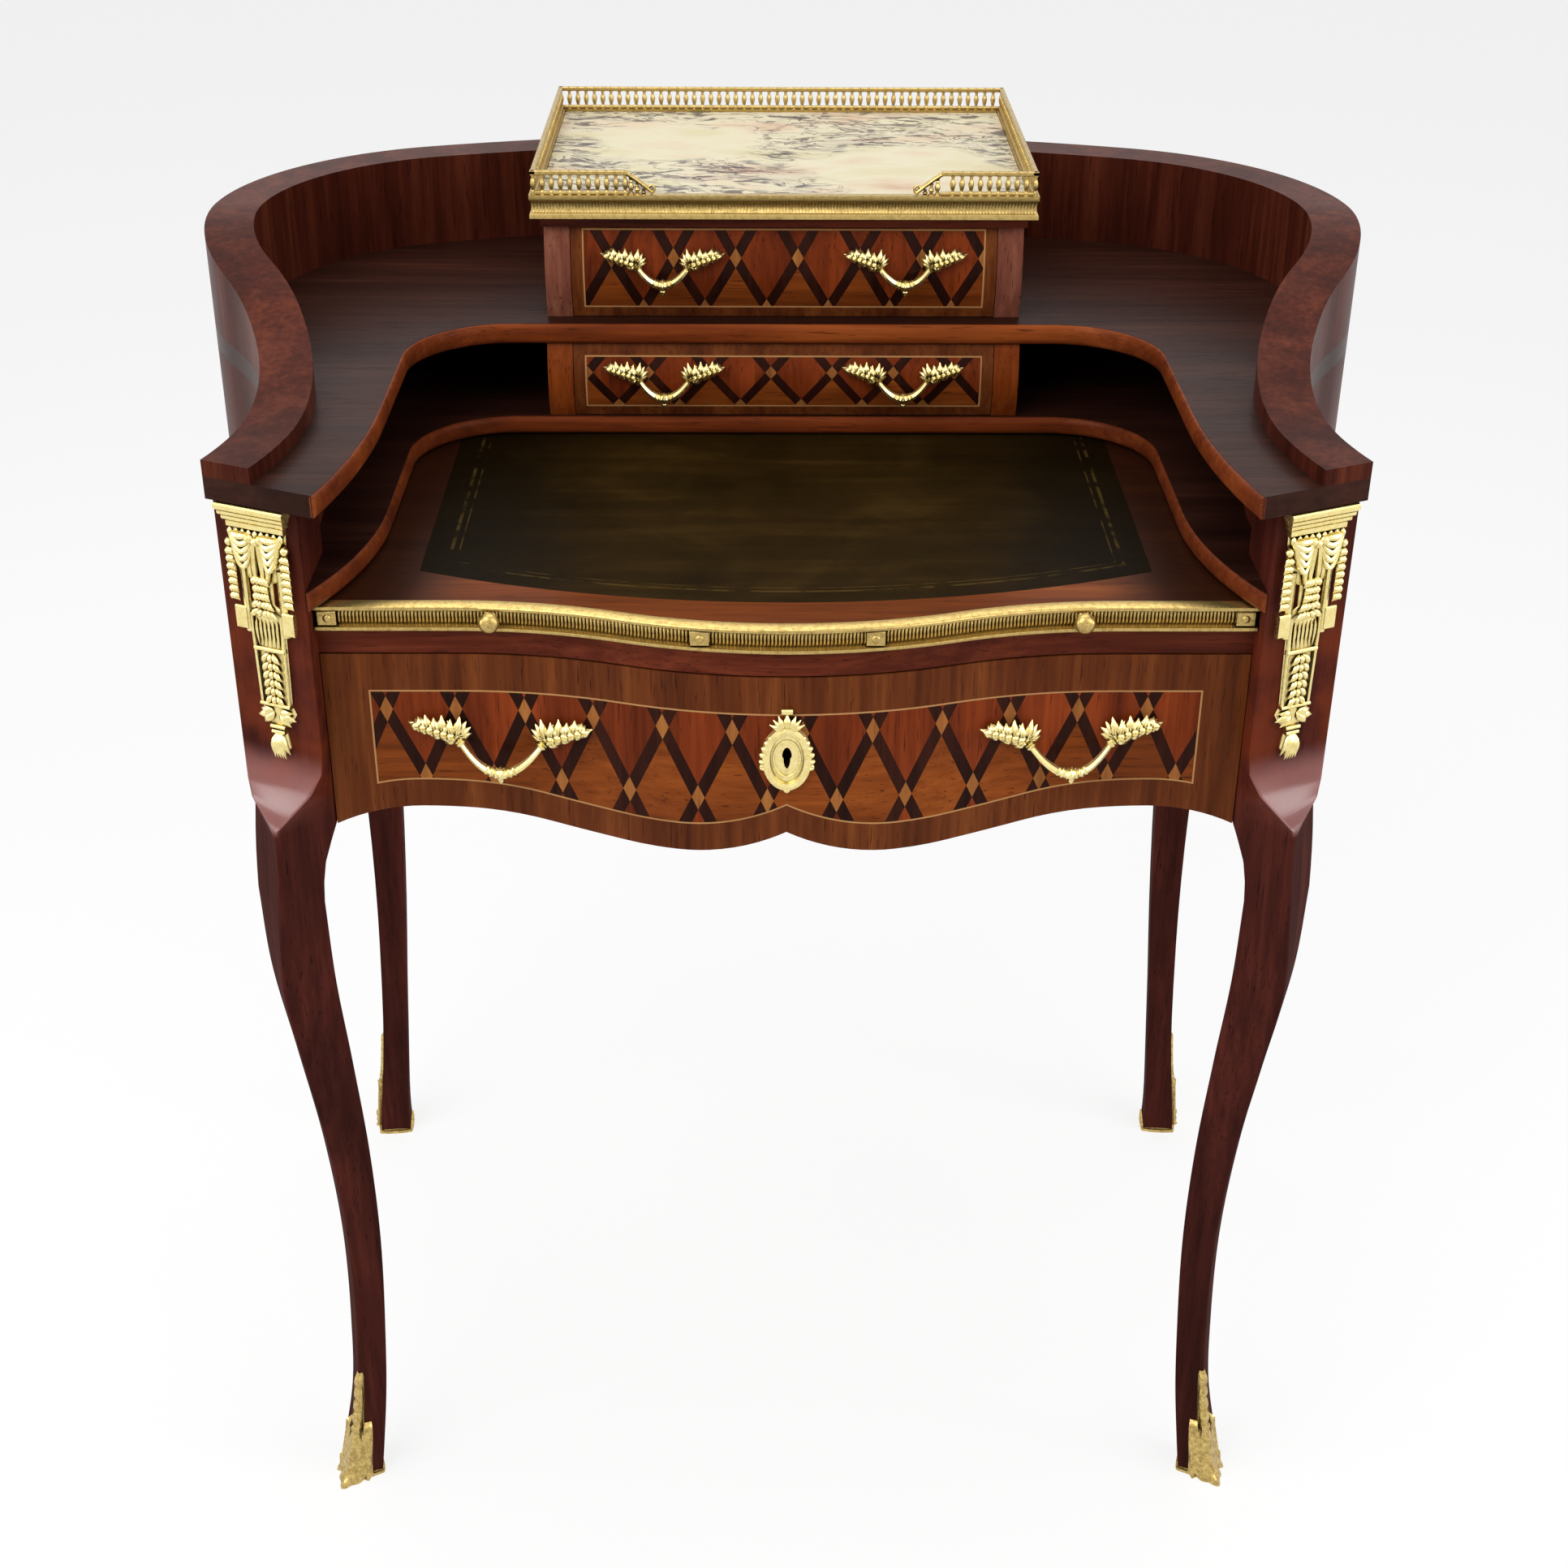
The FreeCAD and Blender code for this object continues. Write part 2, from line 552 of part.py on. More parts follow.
def back_ring(body, name, low, high, turn):
    """Pad the back of the kidney between two turns of its rounded ends."""
    right = [polar("bulge_radius", turn), bulge_to_back("0")]
    inside = [bulge_to_back("wall"), polar("bulge_radius - wall", turn)]
    corners = right + [(minus(x), y) for x, y in reversed(right)]
    corners = corners + [(minus(x), y) for x, y in reversed(inside)] + inside
    edges = [OUTER_BULGE, OUTER_BACK, OUTER_BULGE, None]
    edges = edges + [turned(INNER_BULGE), turned(INNER_BACK), turned(INNER_BULGE), None]
    sketch = new_sketch(body, name, "XY_Plane", low)
    draw_path(sketch, corners, edges)
    pad(body, sketch, "(%s) - (%s)" % (high, low))


def make_back_wall():
    body = new_body("back_wall")
    turn = "rear_turn + rear_half"
    back_ring(body, "back_wall_plan", "case_bottom", "shelf_bottom", turn)
    edge = "(%s) - hem_margin" % polar("bulge_radius - wall", turn)[0]
    arch_cut(body, "back_hem", "XZ_Plane", minus(edge), edge, "case_bottom", "hem_rise", "3 * half_width")
    piece("back_wall", body)


def make_gallery_walls():
    body = new_body("gallery_wall_right")
    corners = [("ear_x", "ear_y"), bulge_to_waist("0"), polar("bulge_radius", "split_turn"),
               polar("bulge_radius - wall", "split_turn"), bulge_to_waist("wall"), ("rim_x", "rim_y")]
    edges = [OUTER_WAIST, OUTER_BULGE, None, turned(INNER_BULGE), turned(INNER_WAIST), None]
    sketch = new_sketch(body, "gallery_plan", "XY_Plane", "shelf_top")
    draw_path(sketch, corners, edges)
    pad(body, sketch, "wall_high + wall")
    ramp = [("2 * ear_y", "shelf_top + wall_low"), ("ramp_start", "shelf_top + wall_low"),
            ("ramp_start + ramp_half", "shelf_top + wall_low + ramp_rise"), ("ramp_end", "wall_top"),
            ("2 * back_y", "wall_top"), ("2 * back_y", "wall_top + 2 * wall"), ("2 * ear_y", "wall_top + 2 * wall")]
    profile = new_sketch(body, "gallery_ramp", "YZ_Plane")
    draw_path(profile, ramp, [None, ("ramp_arc", 1), ("ramp_arc", -1), None, None, None, None])
    pocket(body, profile, "3 * half_width", symmetric=True)
    pair("gallery_wall", body)
    back = new_body("gallery_wall_back")
    back_ring(back, "gallery_back_plan", "shelf_top", "wall_top", "split_turn")
    piece("gallery_wall_back", back)


# Cabriole legs: six-cornered sections from the sole to the top of the post
def front_point(reach, side, x, y):
    """Return a point given along and across the canted corner, from a middle."""
    return ("(%s) + (%s) * sin(cant) + (%s) * cos(cant)" % (x, reach, side),
            "(%s) - (%s) * cos(cant) + (%s) * sin(cant)" % (y, reach, side))


def rear_point(reach, side):
    """Return a point given along and across the ray of a rear leg."""
    return ("bulge_x + (%s) * cos(rear_turn) - (%s) * sin(rear_turn)" % (reach, side),
            "bulge_y + (%s) * sin(rear_turn) + (%s) * cos(rear_turn)" % (reach, side))


def square_offsets(side):
    """Return the six corners of a square section with a blunted arris, along and across its diagonal."""
    half = "(%s) / sqrt(2)" % side
    return [(half + " - arris", "-arris"), (half + " - arris", "arris"), ("0", half), (minus(half), "0"),
            (minus(half) + " / 2", minus(half) + " / 2"), ("0", minus(half))]


def front_square(station, grow):
    x = "face_x + front_%s_sideways" % station
    y = "face_y + front_%s_backwards" % station
    offsets = square_offsets("front_%s_side + %s" % (station, grow))
    return [front_point(reach, side, x, y) for reach, side in offsets]


def rear_square(station, grow):
    middle = "bulge_radius + rear_%s_reach" % station
    offsets = square_offsets("rear_%s_side + %s" % (station, grow))
    return [rear_point("%s + %s" % (middle, reach), side) for reach, side in offsets]


def front_post():
    return [("post_inner", "post_inner_y"), ("post_x", "post_y"), ("post_side_x", "post_side_y"),
            ("post_back_x", "post_back"), ("post_inner", "post_back"), ("post_inner", "post_inset")]


def rear_post():
    first = "rear_turn - rear_half"
    last = "rear_turn + rear_half"
    outer = "bulge_radius + rear_proud"
    inner = "(bulge_radius - wall) / cos(rear_half)"
    return [polar(outer, first), polar(outer, last), polar("rear_side", last), polar(inner, last),
            polar(inner, first), polar("rear_side", first)]


def blended(post, square, shares):
    """Return corners that lie a share of the way from the post to the square, each by its own share."""
    mixed = []
    for (post_x, post_y), (square_x, square_y), share in zip(post, square, shares):
        x = "(%s) * (1 - %s) + (%s) * %s" % (post_x, share, square_x, share)
        y = "(%s) * (1 - %s) + (%s) * %s" % (post_y, share, square_y, share)
        mixed.append((x, y))
    return mixed


def add_loft(body, name, sections, ruled=False):
    """Add a loft through sections of height and six corners, straight from one to the next if it is ruled."""
    sketches = []
    for index, (height, corners) in enumerate(sections):
        sketch = new_sketch(body, "%s_section_%d" % (name, index), "XY_Plane", height)
        draw_path(sketch, corners, [None] * 6)
        sketches.append(sketch)
    loft = body.newObject("PartDesign::AdditiveLoft", name)
    loft.Profile = sketches[0]
    loft.Sections = sketches[1:]
    loft.Ruled = ruled
    doc.recompute()


def make_leg(stem, stations, square, post, shares):
    """Make a leg with its post and the shoe that fits its foot."""
    leg = new_body("leg_%s_right" % stem)
    curve = [("%s_%s_z" % (stem, station), square(station, "0")) for station in stations]
    add_loft(leg, "curve_" + stem, curve)
    knee = curve[-1:]
    for station in KNEE_BLEND:
        corners = blended(post(), square("knee", "0"), ["blend_%s_%s" % (station, share) for share in shares])
        knee.append(("%s_%s_z" % (stem, station), corners))
    add_loft(leg, "knee_" + stem, knee, True)
    top = new_sketch(leg, "post_%s_section" % stem, "XY_Plane", "%s_post_z" % stem)
    draw_path(top, post(), [None] * 6)
    pad(leg, top, "shelf_bottom - %s_post_z" % stem)
    pair("leg_" + stem, leg)
    foot = list(stations)[:5]
    shoe = new_body("shoe_" + stem)
    add_loft(shoe, "shoe_loft_" + stem,
             [("%s_%s_z" % (stem, station), square(station, "2 * sabot_wall")) for station in foot])
    return leg, shoe


def sabot_tool(stem, x, y, turn):
    """Make the wedge that bounds a shoe: high on the arris and low behind."""
    body = new_body("sabot_bounds_" + stem)
    sketch = new_sketch(body, "sabot_profile_" + stem, "XZ_Plane")
    corners = [("-sabot_span", "0"), ("sabot_span", "0"), ("sabot_span", "sabot_front + sabot_span / 2"),
               ("sabot_lead", "sabot_front"), ("-sabot_trail", "sabot_back"), ("-sabot_span", "sabot_back")]
    draw_path(sketch, corners, [None] * len(corners))
    pad(body, sketch, "2 * sabot_span", symmetric=True)
    place(body, x, y, "0", turn)
    return body


def make_legs():
    leg, shoe = make_leg("front", FRONT_LEG, front_square, front_post, FRONT_CORNERS)
    bounds = sabot_tool("front", "face_x + front_ankle_sideways", "face_y + front_ankle_backwards",
                        "cant - 90")
    cup = combine("Common", "shoe_bounded_front", shoe, bounds)
    pair("sabot_front", combine("Cut", "sabot_front_right", cup, leg))
    leg, shoe = make_leg("rear", REAR_LEG, rear_square, rear_post, REAR_CORNERS)
    x, y = rear_point("bulge_radius + rear_ankle_reach", "0")
    bounds = sabot_tool("rear", x, y, "rear_turn")
    cup = combine("Common", "shoe_bounded_rear", shoe, bounds)
    pair("sabot_rear", combine("Cut", "sabot_rear_right", cup, leg))


# Gilt mounts on the canted corners
def make_corner_mounts():
    body = new_body("corner_mount_casting")
    right = [("bud_tip", "0"), ("bud_half", "bud_high"), ("neck_half", "neck_high"), ("mount_foot", "leaf_top"),
             ("mount_waist", "waist_top"), ("mount_waist + mount_taper", "mount_high - swag_foot"),
             ("mount_half - swag_in", "mount_high - swag_side"), ("mount_half", "mount_high - swag_top"),
             ("mount_half - cap_in", "mount_high - cap_high"), ("mount_half - cap_in", "mount_high - cap_cover")]
    outline = new_sketch(body, "mount_outline", "XZ_Plane")
    draw_path(outline, *both_sides(right, [None] * (len(right) - 1), None))
    pad(body, outline, "mount_thick")
    for level in range(CAP_STEPS):
        step = new_sketch(body, "mount_cap_%d" % level, "XZ_Plane")
        half = "mount_half - cap_back + %d * cap_back / 2" % level
        low = "mount_high - cap_high + %d * cap_step" % level
        draw_box(step, minus(half), low, half, "mount_high")
        pad(body, step, "cap_thick - %d * cap_back" % (CAP_STEPS - 1 - level))
    place(body, "face_x", "face_y", "mount_top - mount_high", "cant")
    pair("corner_mount", combine("Cut", "corner_mount_right", body, pieces["leg_front_right"]))


# Rails and runners
def make_front_rail():
    body = new_body("front_rail")
    serpentine_slab(body, "front_rail", "post_inner", "0", "post_back", "rail_bottom", "rail_top")
    mortise = new_sketch(body, "bolt_mortise", "XY_Plane", "rail_bottom")
    half = "bolt_half + 2 * bolt_gap"
    draw_box(mortise, minus(half), "lock_y + lock_thick / 2 - bolt_thick / 2 - 2 * bolt_gap", half,
             "lock_y + lock_thick / 2 + bolt_thick / 2 + 2 * bolt_gap")
    pocket(body, mortise, "bolt_travel + 2", backwards=True)
    piece("front_rail", body)


def make_runners():
    levels = (("slide", "rail_bottom", "rail_top"), ("drawer", "runner_top - runner_thick", "runner_top"))
    for stem, low, high in levels:
        name = stem + "_runners"
        right = box(stem + "_runner_right", "runner_inner", "waist_half - wall", "post_back", "runner_end",
                    low, high)
        group = doc.addObject("Part::Compound", name)
        group.Links = [right, mirror(stem + "_runner_left", right)]
        piece(name, group)


# Pull-out writing slide
def leather_outline(sketch):
    corners = [("leather_half", "leather_corner_y"), ("leather_half", "leather_back"),
               ("-leather_half", "leather_back"), ("-leather_half", "leather_corner_y")]
    draw_path(sketch, corners, [None, None, None, ("leather_arc", 1)])


def make_writing_slide():
    board = new_body("slide_board")
    half = "post_inner - slide_side_gap"
    serpentine_slab(board, "slide", half, "0", "slide_back", "slide_bottom", "slide_top")
    recess = new_sketch(board, "leather_recess", "XY_Plane", "slide_top")
    leather_outline(recess)
    pocket(board, recess, "leather_thick")
    piece("slide_board", board)
    leather = new_body("leather_panel")
    panel = new_sketch(leather, "leather_plan", "XY_Plane", "slide_top - leather_thick")
    leather_outline(panel)
    pad(leather, panel, "leather_thick")
    piece("leather_panel", leather)
    make_slide_moulding(half)
    make_slide_knobs()


def make_slide_moulding(half):
    """Sweep the edge with its two beads along the serpentine front of the slide."""
    body = new_body("slide_moulding")
    path = new_sketch(body, "moulding_path", "XY_Plane", "slide_top")
    curve, curve_edges = serpentine("0")
    draw_path(path, [(half, "front_y")] + curve + [(minus(half), "front_y")], [None] + curve_edges + [None], False)
    profile = new_sketch(body, "moulding_profile", "YZ_Plane", half)
    crest = "front_y - moulding_thick"
    hollow = "front_y - moulding_thick + bead_proud"
    low = "slide_top - moulding_high"
    corners = [("front_y", low), ("front_y", "slide_top"), (crest, "slide_top"), (crest, "slide_top - bead_high"),
               (hollow, "slide_top - bead_high"), (hollow, low + " + bead_high"), (crest, low + " + bead_high"),
               (crest, low)]
    draw_path(profile, corners, [None] * len(corners))
    pipe = body.newObject("PartDesign::AdditivePipe", "moulding_sweep")
    pipe.Profile = profile
    pipe.Spine = (path, ["Edge%d" % edge for edge in range(1, 6)])
    doc.recompute()
    piece("slide_moulding", body)


def make_slide_knobs():
    body = new_body("slide_knob_right")
    sections = []
    for index, (along, share) in enumerate(((0, 0.5), (0.3, 0.5), (0.55, 1), (1, 0.6))):
        section = new_sketch(body, "knob_section_%d" % index, "XZ_Plane", "knob_long * %s" % along)
        draw_polygon(section, "0", "0", "knob_radius * %s" % share, 8)
        sections.append(section)
    turning = body.newObject("PartDesign::AdditiveLoft", "knob_turning")
    turning.Profile = sections[0]
    turning.Sections = sections[1:]
    turning.Ruled = True
    doc.recompute()
    hollow = "front_arc - sqrt(front_arc^2 - (front_half - knob_x)^2)"
    seat = "front_y - moulding_thick + bead_proud - knob_gap - (%s)" % hollow
    place(body, "knob_x", seat, "slide_top - moulding_high / 2")
    group = doc.addObject("Part::Compound", "slide_knobs")
    group.Links = [body, mirror("slide_knob_left", body)]
    piece("slide_knobs", group)


# Frieze drawer
def make_main_front():
    """Cut the drawer front from a serpentine strip with a shaped lower edge."""
    half = "post_inner - drawer_side_gap"
    strip = new_body("main_front_strip")
    serpentine_strip(strip, "main_front", half, "0", "front_thick", "apron_low - 5", "drawer_top")
    elevation = new_body("main_front_elevation")
    sketch = new_sketch(elevation, "apron_outline", "XZ_Plane")
    middle_x = "(apron_high_x + apron_low_x) / 2"
    middle_z = "(apron_high + apron_low) / 2"
    end_arc = "((%s - apron_high_x)^2 + (apron_high - apron_end)^2) / (2 * (apron_high - apron_end))" % half
    long_arc = "((apron_high_x - apron_low_x)^2 + (apron_high - apron_low)^2) / (4 * (apron_high - apron_low))"
    cusp_arc = "(apron_low_x^2 + (apron_cusp - apron_low)^2) / (2 * (apron_cusp - apron_low))"
    right = [("0", "apron_cusp"), ("apron_low_x", "apron_low"), (middle_x, middle_z),
             ("apron_high_x", "apron_high"), (half, "apron_end"), (half, "drawer_top")]
    edges = [(cusp_arc, 1), (long_arc, 1), (long_arc, -1), (end_arc, -1), None]
    left = [(minus(x), z) for x, z in reversed(right[1:])]
    draw_path(sketch, right + left, edges + [None] + list(reversed(edges)))
    pad(elevation, sketch, "3 * half_width", symmetric=True)
    front = combine("Common", "main_front_shaped", strip, elevation)
    seat = box("lock_mortise", "-lock_half", "lock_half", "lock_y - 2", "lock_y + front_thick",
               "drawer_top - lock_high", "drawer_top")
    front = combine("Cut", "main_front_mortised", front, seat)
    keyhole = box("keyhole", "-keyhole_half", "keyhole_half", "front_y - 2 * front_bulge", "lock_y",
                  "keyhole_z - keyhole_high / 2", "keyhole_z + keyhole_high / 2")
    return piece("main_drawer_front", combine("Cut", "main_drawer_front", front, keyhole)), keyhole


def make_main_drawer():
    front, keyhole = make_main_front()
    outer = "post_inner - drawer_box_gap"
    inner = "post_inner - drawer_box_gap - drawer_side"
    low = "runner_top + runner_gap"
    high = "drawer_top - drawer_top_drop"
    start = "front_y + front_thick"
    pair("main_drawer_side", box("main_drawer_side_right", inner, outer, start, "drawer_back", low, high))
    piece("main_drawer_back", box("main_drawer_back", minus(inner), inner, "drawer_back - drawer_side",
                                  "drawer_back", low, high))
    slab = new_body("main_drawer_bottom")
    curve, curve_edges = serpentine("front_thick")
    corners = [(inner, start)] + curve + [(minus(inner), start), (minus(inner), "drawer_back - drawer_side"),
                                          (inner, "drawer_back - drawer_side")]
    sketch = new_sketch(slab, "main_bottom_plan", "XY_Plane", low + " + drawer_bottom_lift")
    draw_path(sketch, corners, [None] + curve_edges + [None] * 4)
    pad(slab, sketch, "drawer_bottom_thick")
    piece("main_drawer_bottom", slab)
    make_lock(keyhole)
    handle("main_handle", "handle_span", "handle_drop", "handle_leaf", "handle_x", "front_y - handle_forward",
           "handle_z", "handle_turn", front)
    make_escutcheon(front)


def make_lock(keyhole):
    """Make the lock's case with a slot for its bolt, and the bolt."""
    near = "lock_y - 2"
    far = "lock_y - 2 + lock_thick"
    block = box("lock_block", "-lock_half", "lock_half", near, far, "drawer_top - lock_high", "drawer_top")
    middle = "lock_y + lock_thick / 2"
    slot = box("bolt_slot", "-bolt_half - bolt_gap", "bolt_half + bolt_gap",
               middle + " - bolt_thick / 2 - bolt_gap", middle + " + bolt_thick / 2 + bolt_gap",
               "drawer_top - bolt_high - bolt_gap", "drawer_top + 1")
    case = combine("Cut", "lock_slotted", block, slot)
    piece("lock_case", combine("Cut", "lock_case", case, keyhole))
    piece("lock_bolt", box("lock_bolt", "-bolt_half", "bolt_half", middle + " - bolt_thick / 2",
                           middle + " + bolt_thick / 2", "drawer_top - bolt_high", "drawer_top"))


def leaf_corners(span, leaf):
    """Return the outline of a right-hand leaf spray."""
    return [("%s + %s * %s" % (span, along, leaf), "%s * %s" % (up, leaf)) for along, up in LEAF_OUTLINE]


def handle_bow(stem, span, drop):
    """Make the bowed stem of a pull in straight lengths of a square section, leaning out of the drawer front."""
    body = new_body(stem + "_bow")
    radius = "((%s)^2 + (%s)^2) / (2 * (%s))" % (span, drop, drop)
    sweep = "asin(%s / (%s))" % (span, radius)
    rings = []
    for sign in ("+", "-"):
        ring = "(%s %s handle_stem)" % (radius, sign)
        turns = ["%s * %s" % (sweep, step / BOW_STEPS) for step in range(-BOW_STEPS, BOW_STEPS + 1)]
        rings.append([("%s * sin(%s)" % (ring, turn), "%s - %s - %s * cos(%s)" % (radius, drop, ring, turn))
                      for turn in turns])
    corners = rings[0] + rings[1][::-1]
    outline = new_sketch(body, stem + "_bow_outline", "XZ_Plane")
    draw_path(outline, corners, [None] * len(corners))
    pad(body, outline, "2 * handle_stem", symmetric=True)
    body.Placement.Rotation = FreeCAD.Rotation(FreeCAD.Vector(1, 0, 0), number("-handle_tilt"))
    bind(body, "Placement.Rotation.Angle", "-handle_tilt")
    return body


def handle(stem, span, drop, leaf, x, y, z, turn, front):
    """Make a one-piece pull: two leaf sprays on the drawer front and a bowed stem between them."""
    body = new_body(stem + "_sprays")
    leaves = new_sketch(body, stem + "_leaves", "XZ_Plane", "-leaf_sink")
    right = leaf_corners(span, leaf)
    draw_path(leaves, right, [None] * len(right))
    draw_path(leaves, [(minus(a), b) for a, b in right], [None] * len(right))
    pad(body, leaves, "leaf_thick + leaf_sink")
    casting = combine("Fuse", stem + "_casting", body, handle_bow(stem, span, drop))
    place(casting, x, y, z, turn)
    pair(stem, combine("Cut", stem + "_right", casting, front))


def make_escutcheon(front):
    """Make the keyhole plate: a pointed oval with a crest."""
    body = new_body("escutcheon_casting")
    sketch = new_sketch(body, "plate_outline", "XZ_Plane", "-leaf_sink")
    half_arc = "(plate_high^2 + plate_half^2) / (2 * plate_half)"
    right = [("plate_tip", "-plate_high"), ("plate_half", "0"), ("plate_neck", "plate_high * plate_shoulder"),
             ("plate_crest", "plate_high"), ("plate_tip", "plate_high + plate_crest")]
    edges = [(half_arc, 1), (half_arc, 1), None, None]
    draw_path(sketch, *both_sides(right, edges, None))
    pad(body, sketch, "leaf_sink + plate_thick")
    hole = new_sketch(body, "plate_keyhole", "XZ_Plane", "-2 * leaf_sink")
    draw_box(hole, "-keyhole_half", "-keyhole_high / 2", "keyhole_half", "keyhole_high / 2")
    pocket(body, hole, "6 * leaf_sink", symmetric=True)
    place(body, "0", "front_y - front_bulge", "keyhole_z")
    piece("escutcheon", combine("Cut", "escutcheon", body, front))


# Two small drawers, one above the other, between cheeks
def make_small_drawer(stem, front_y, low, high, handle_z):
    cheek = new_body(stem + "_cheek_right")
    swelled(cheek, stem + "_cheek_profile", front_y, "nest_back", low, high, "nest_half", "cheek_thick")
    pair(stem + "_cheek", cheek)
    name = stem + "_drawer"
    front = new_body(name + "_front")
    back = "%s + small_front_thick" % front_y
    swelled(front, name + "_profile", front_y, back, low + " + small_gap", high + " - small_gap", "0",
            "2 * (nest_half - small_gap)", True)
    piece(name + "_front", front)
    outer = "nest_half - small_gap"
    inner = "nest_half - small_gap - small_side"
    floor = low + " + small_lift"
    top = high + " - small_top_drop"
    pair(name + "_side", box(name + "_side_right", inner, outer, back, "small_back_y", floor, top))
    piece(name + "_back", box(name + "_back", minus(inner), inner, "small_back_y - small_side", "small_back_y",
                              floor, top))
    piece(name + "_bottom", box(name + "_bottom", minus(inner), inner, back, "small_back_y - small_side",
                                floor + " + small_bottom / 2", floor + " + small_bottom * 1.5"))
    handle(stem + "_handle", "small_handle_span", "small_handle_drop", "small_handle_leaf", "small_handle_x",
           front_y + " - front_swell", handle_z, "0", front)


# Marble top in its brass tray with a pierced gallery
def make_tray():
    inset = "band_thick + marble_gap"
    half = "tray_half - (%s)" % inset
    near = "tray_front + %s" % inset
    far = "tray_back - (%s)" % inset
    piece("tray_board", box("tray_board", minus(half), half, near, far, "wall_top", "tray_floor"))
    piece("marble_top", box("marble_top", minus(half), half, near, far, "tray_floor", "tray_floor + marble_thick"))
    body = new_body("tray_band")
    sketch = new_sketch(body, "band_plan", "XY_Plane", "band_bottom")
    draw_box(sketch, "-tray_half", "tray_front", "tray_half", "tray_back")
    draw_box(sketch, "-tray_half + band_thick", "tray_front + band_thick", "tray_half - band_thick",
             "tray_back - band_thick")
    pad(body, sketch, "band_high")
    piece("tray_band", body)


def gallery_strip(name, role, lift, start, end, rake=False):
    """Make a pierced strip that stands on the band, with slots between its balusters."""
    body = new_body(name)
    outline = new_sketch(body, name + "_outline", role, lift)
    top = "band_top + gallery_high"
    if rake:
        draw_path(outline, [(start, "band_top"), (end, "band_top"), (end, top),
                            ("(%s) + gallery_rake" % start, top)], [None] * 4)
    else:
        draw_box(outline, start, "band_top", end, top)
    pad(body, outline, "gallery_thick", symmetric=True)
    lost = " - gallery_rake" if rake else ""
    count = "floor(((%s) - (%s) - 2 * baluster_wide%s) / baluster_pitch)" % (end, start, lost)
    first = "(%s) - baluster_wide - baluster_pitch * (%s)" % (end, count)
    slot = new_sketch(body, name + "_slot", role, lift)
    low = "band_top + gallery_rail / 2"
    high = top + " - gallery_rail"
    wide = "baluster_pitch - baluster_wide"
    left = first + " + baluster_wide / 2"
    right = left + " + " + wide
    draw_box(slot, left, low, right, high)
    cut = pocket(body, slot, "3 * gallery_thick", symmetric=True)
    pattern = body.newObject("PartDesign::LinearPattern", name + "_balusters")
    pattern.Originals = [cut]
    pattern.Direction = (slot, ["H_Axis"])
    bind(pattern, "Length", "baluster_pitch * (%s - 1)" % count)
    bind(pattern, "Occurrences", count)
    body.Tip = pattern
    doc.recompute()
    return body


def make_gallery():
    middle = "band_thick / 2"
    piece("gallery_back", gallery_strip("gallery_back", "XZ_Plane", "-(tray_back - %s)" % middle,
                                        "-tray_half + band_thick", "tray_half - band_thick"))
    side = gallery_strip("gallery_side", "YZ_Plane", "tray_half - %s" % middle, "tray_front + band_thick",
                         "tray_back")
    front = gallery_strip("gallery_return", "XZ_Plane", "-(tray_front + %s)" % middle,
                          "tray_half - gallery_return - gallery_rake", "tray_half", True)
    pair("gallery", combine("Fuse", "gallery_right", side, front))


def export_all():
    """Check every object, then write one file for each piece."""
    doc.recompute()
    for thing in doc.Objects:
        if any(word in thing.State for word in ("Invalid", "Error")):
            raise RuntimeError(thing.Name + " is not sound: " + str(thing.State))
    os.makedirs("parts", exist_ok=True)
    for label, thing in pieces.items():
        if thing.Shape.isNull() or not thing.Shape.isValid() or not thing.Shape.Solids:
            raise RuntimeError(label + " has no valid solid")
        thing.Shape.exportStep("parts/" + label + ".step")
    print(len(pieces), "pieces written")


sheet = fill_sheets()
make_upper_shelf()
make_lower_board()
make_side_walls()
make_back_wall()
make_gallery_walls()
make_legs()
make_corner_mounts()
make_front_rail()
make_runners()
make_writing_slide()
make_main_drawer()
make_small_drawer("lower", "lower_front_y", "board_top", "shelf_bottom", "lower_handle_z")
make_small_drawer("upper", "upper_front_y", "shelf_top", "wall_top", "upper_handle_z")
make_tray()
make_gallery()
export_all()
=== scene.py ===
"""Looks of a kidney-shaped ladies writing desk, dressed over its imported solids, in metres."""

import enum
import functools
import logging
import math
from dataclasses import dataclass, field
from typing import Callable, Iterable, Sequence, Union

import bmesh
import bpy
import numpy as np
from mathutils import Matrix, Vector


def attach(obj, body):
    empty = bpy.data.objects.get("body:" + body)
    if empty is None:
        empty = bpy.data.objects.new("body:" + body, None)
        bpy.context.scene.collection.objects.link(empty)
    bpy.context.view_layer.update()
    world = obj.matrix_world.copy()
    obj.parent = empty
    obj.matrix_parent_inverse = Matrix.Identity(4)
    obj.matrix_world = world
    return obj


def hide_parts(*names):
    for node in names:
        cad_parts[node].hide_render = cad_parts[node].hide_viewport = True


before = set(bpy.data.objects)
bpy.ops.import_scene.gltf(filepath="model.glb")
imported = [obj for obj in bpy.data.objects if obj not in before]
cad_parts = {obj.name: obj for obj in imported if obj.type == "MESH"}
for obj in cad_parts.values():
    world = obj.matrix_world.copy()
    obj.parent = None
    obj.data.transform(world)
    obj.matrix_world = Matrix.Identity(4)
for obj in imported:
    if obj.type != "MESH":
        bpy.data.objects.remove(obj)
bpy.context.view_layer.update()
LOG = logging.getLogger("ladies_desk")

Number = Union[float, "Signal"]
Colour = tuple[float, float, float, float]
Points = np.ndarray
Move = Callable[[Points], Points]

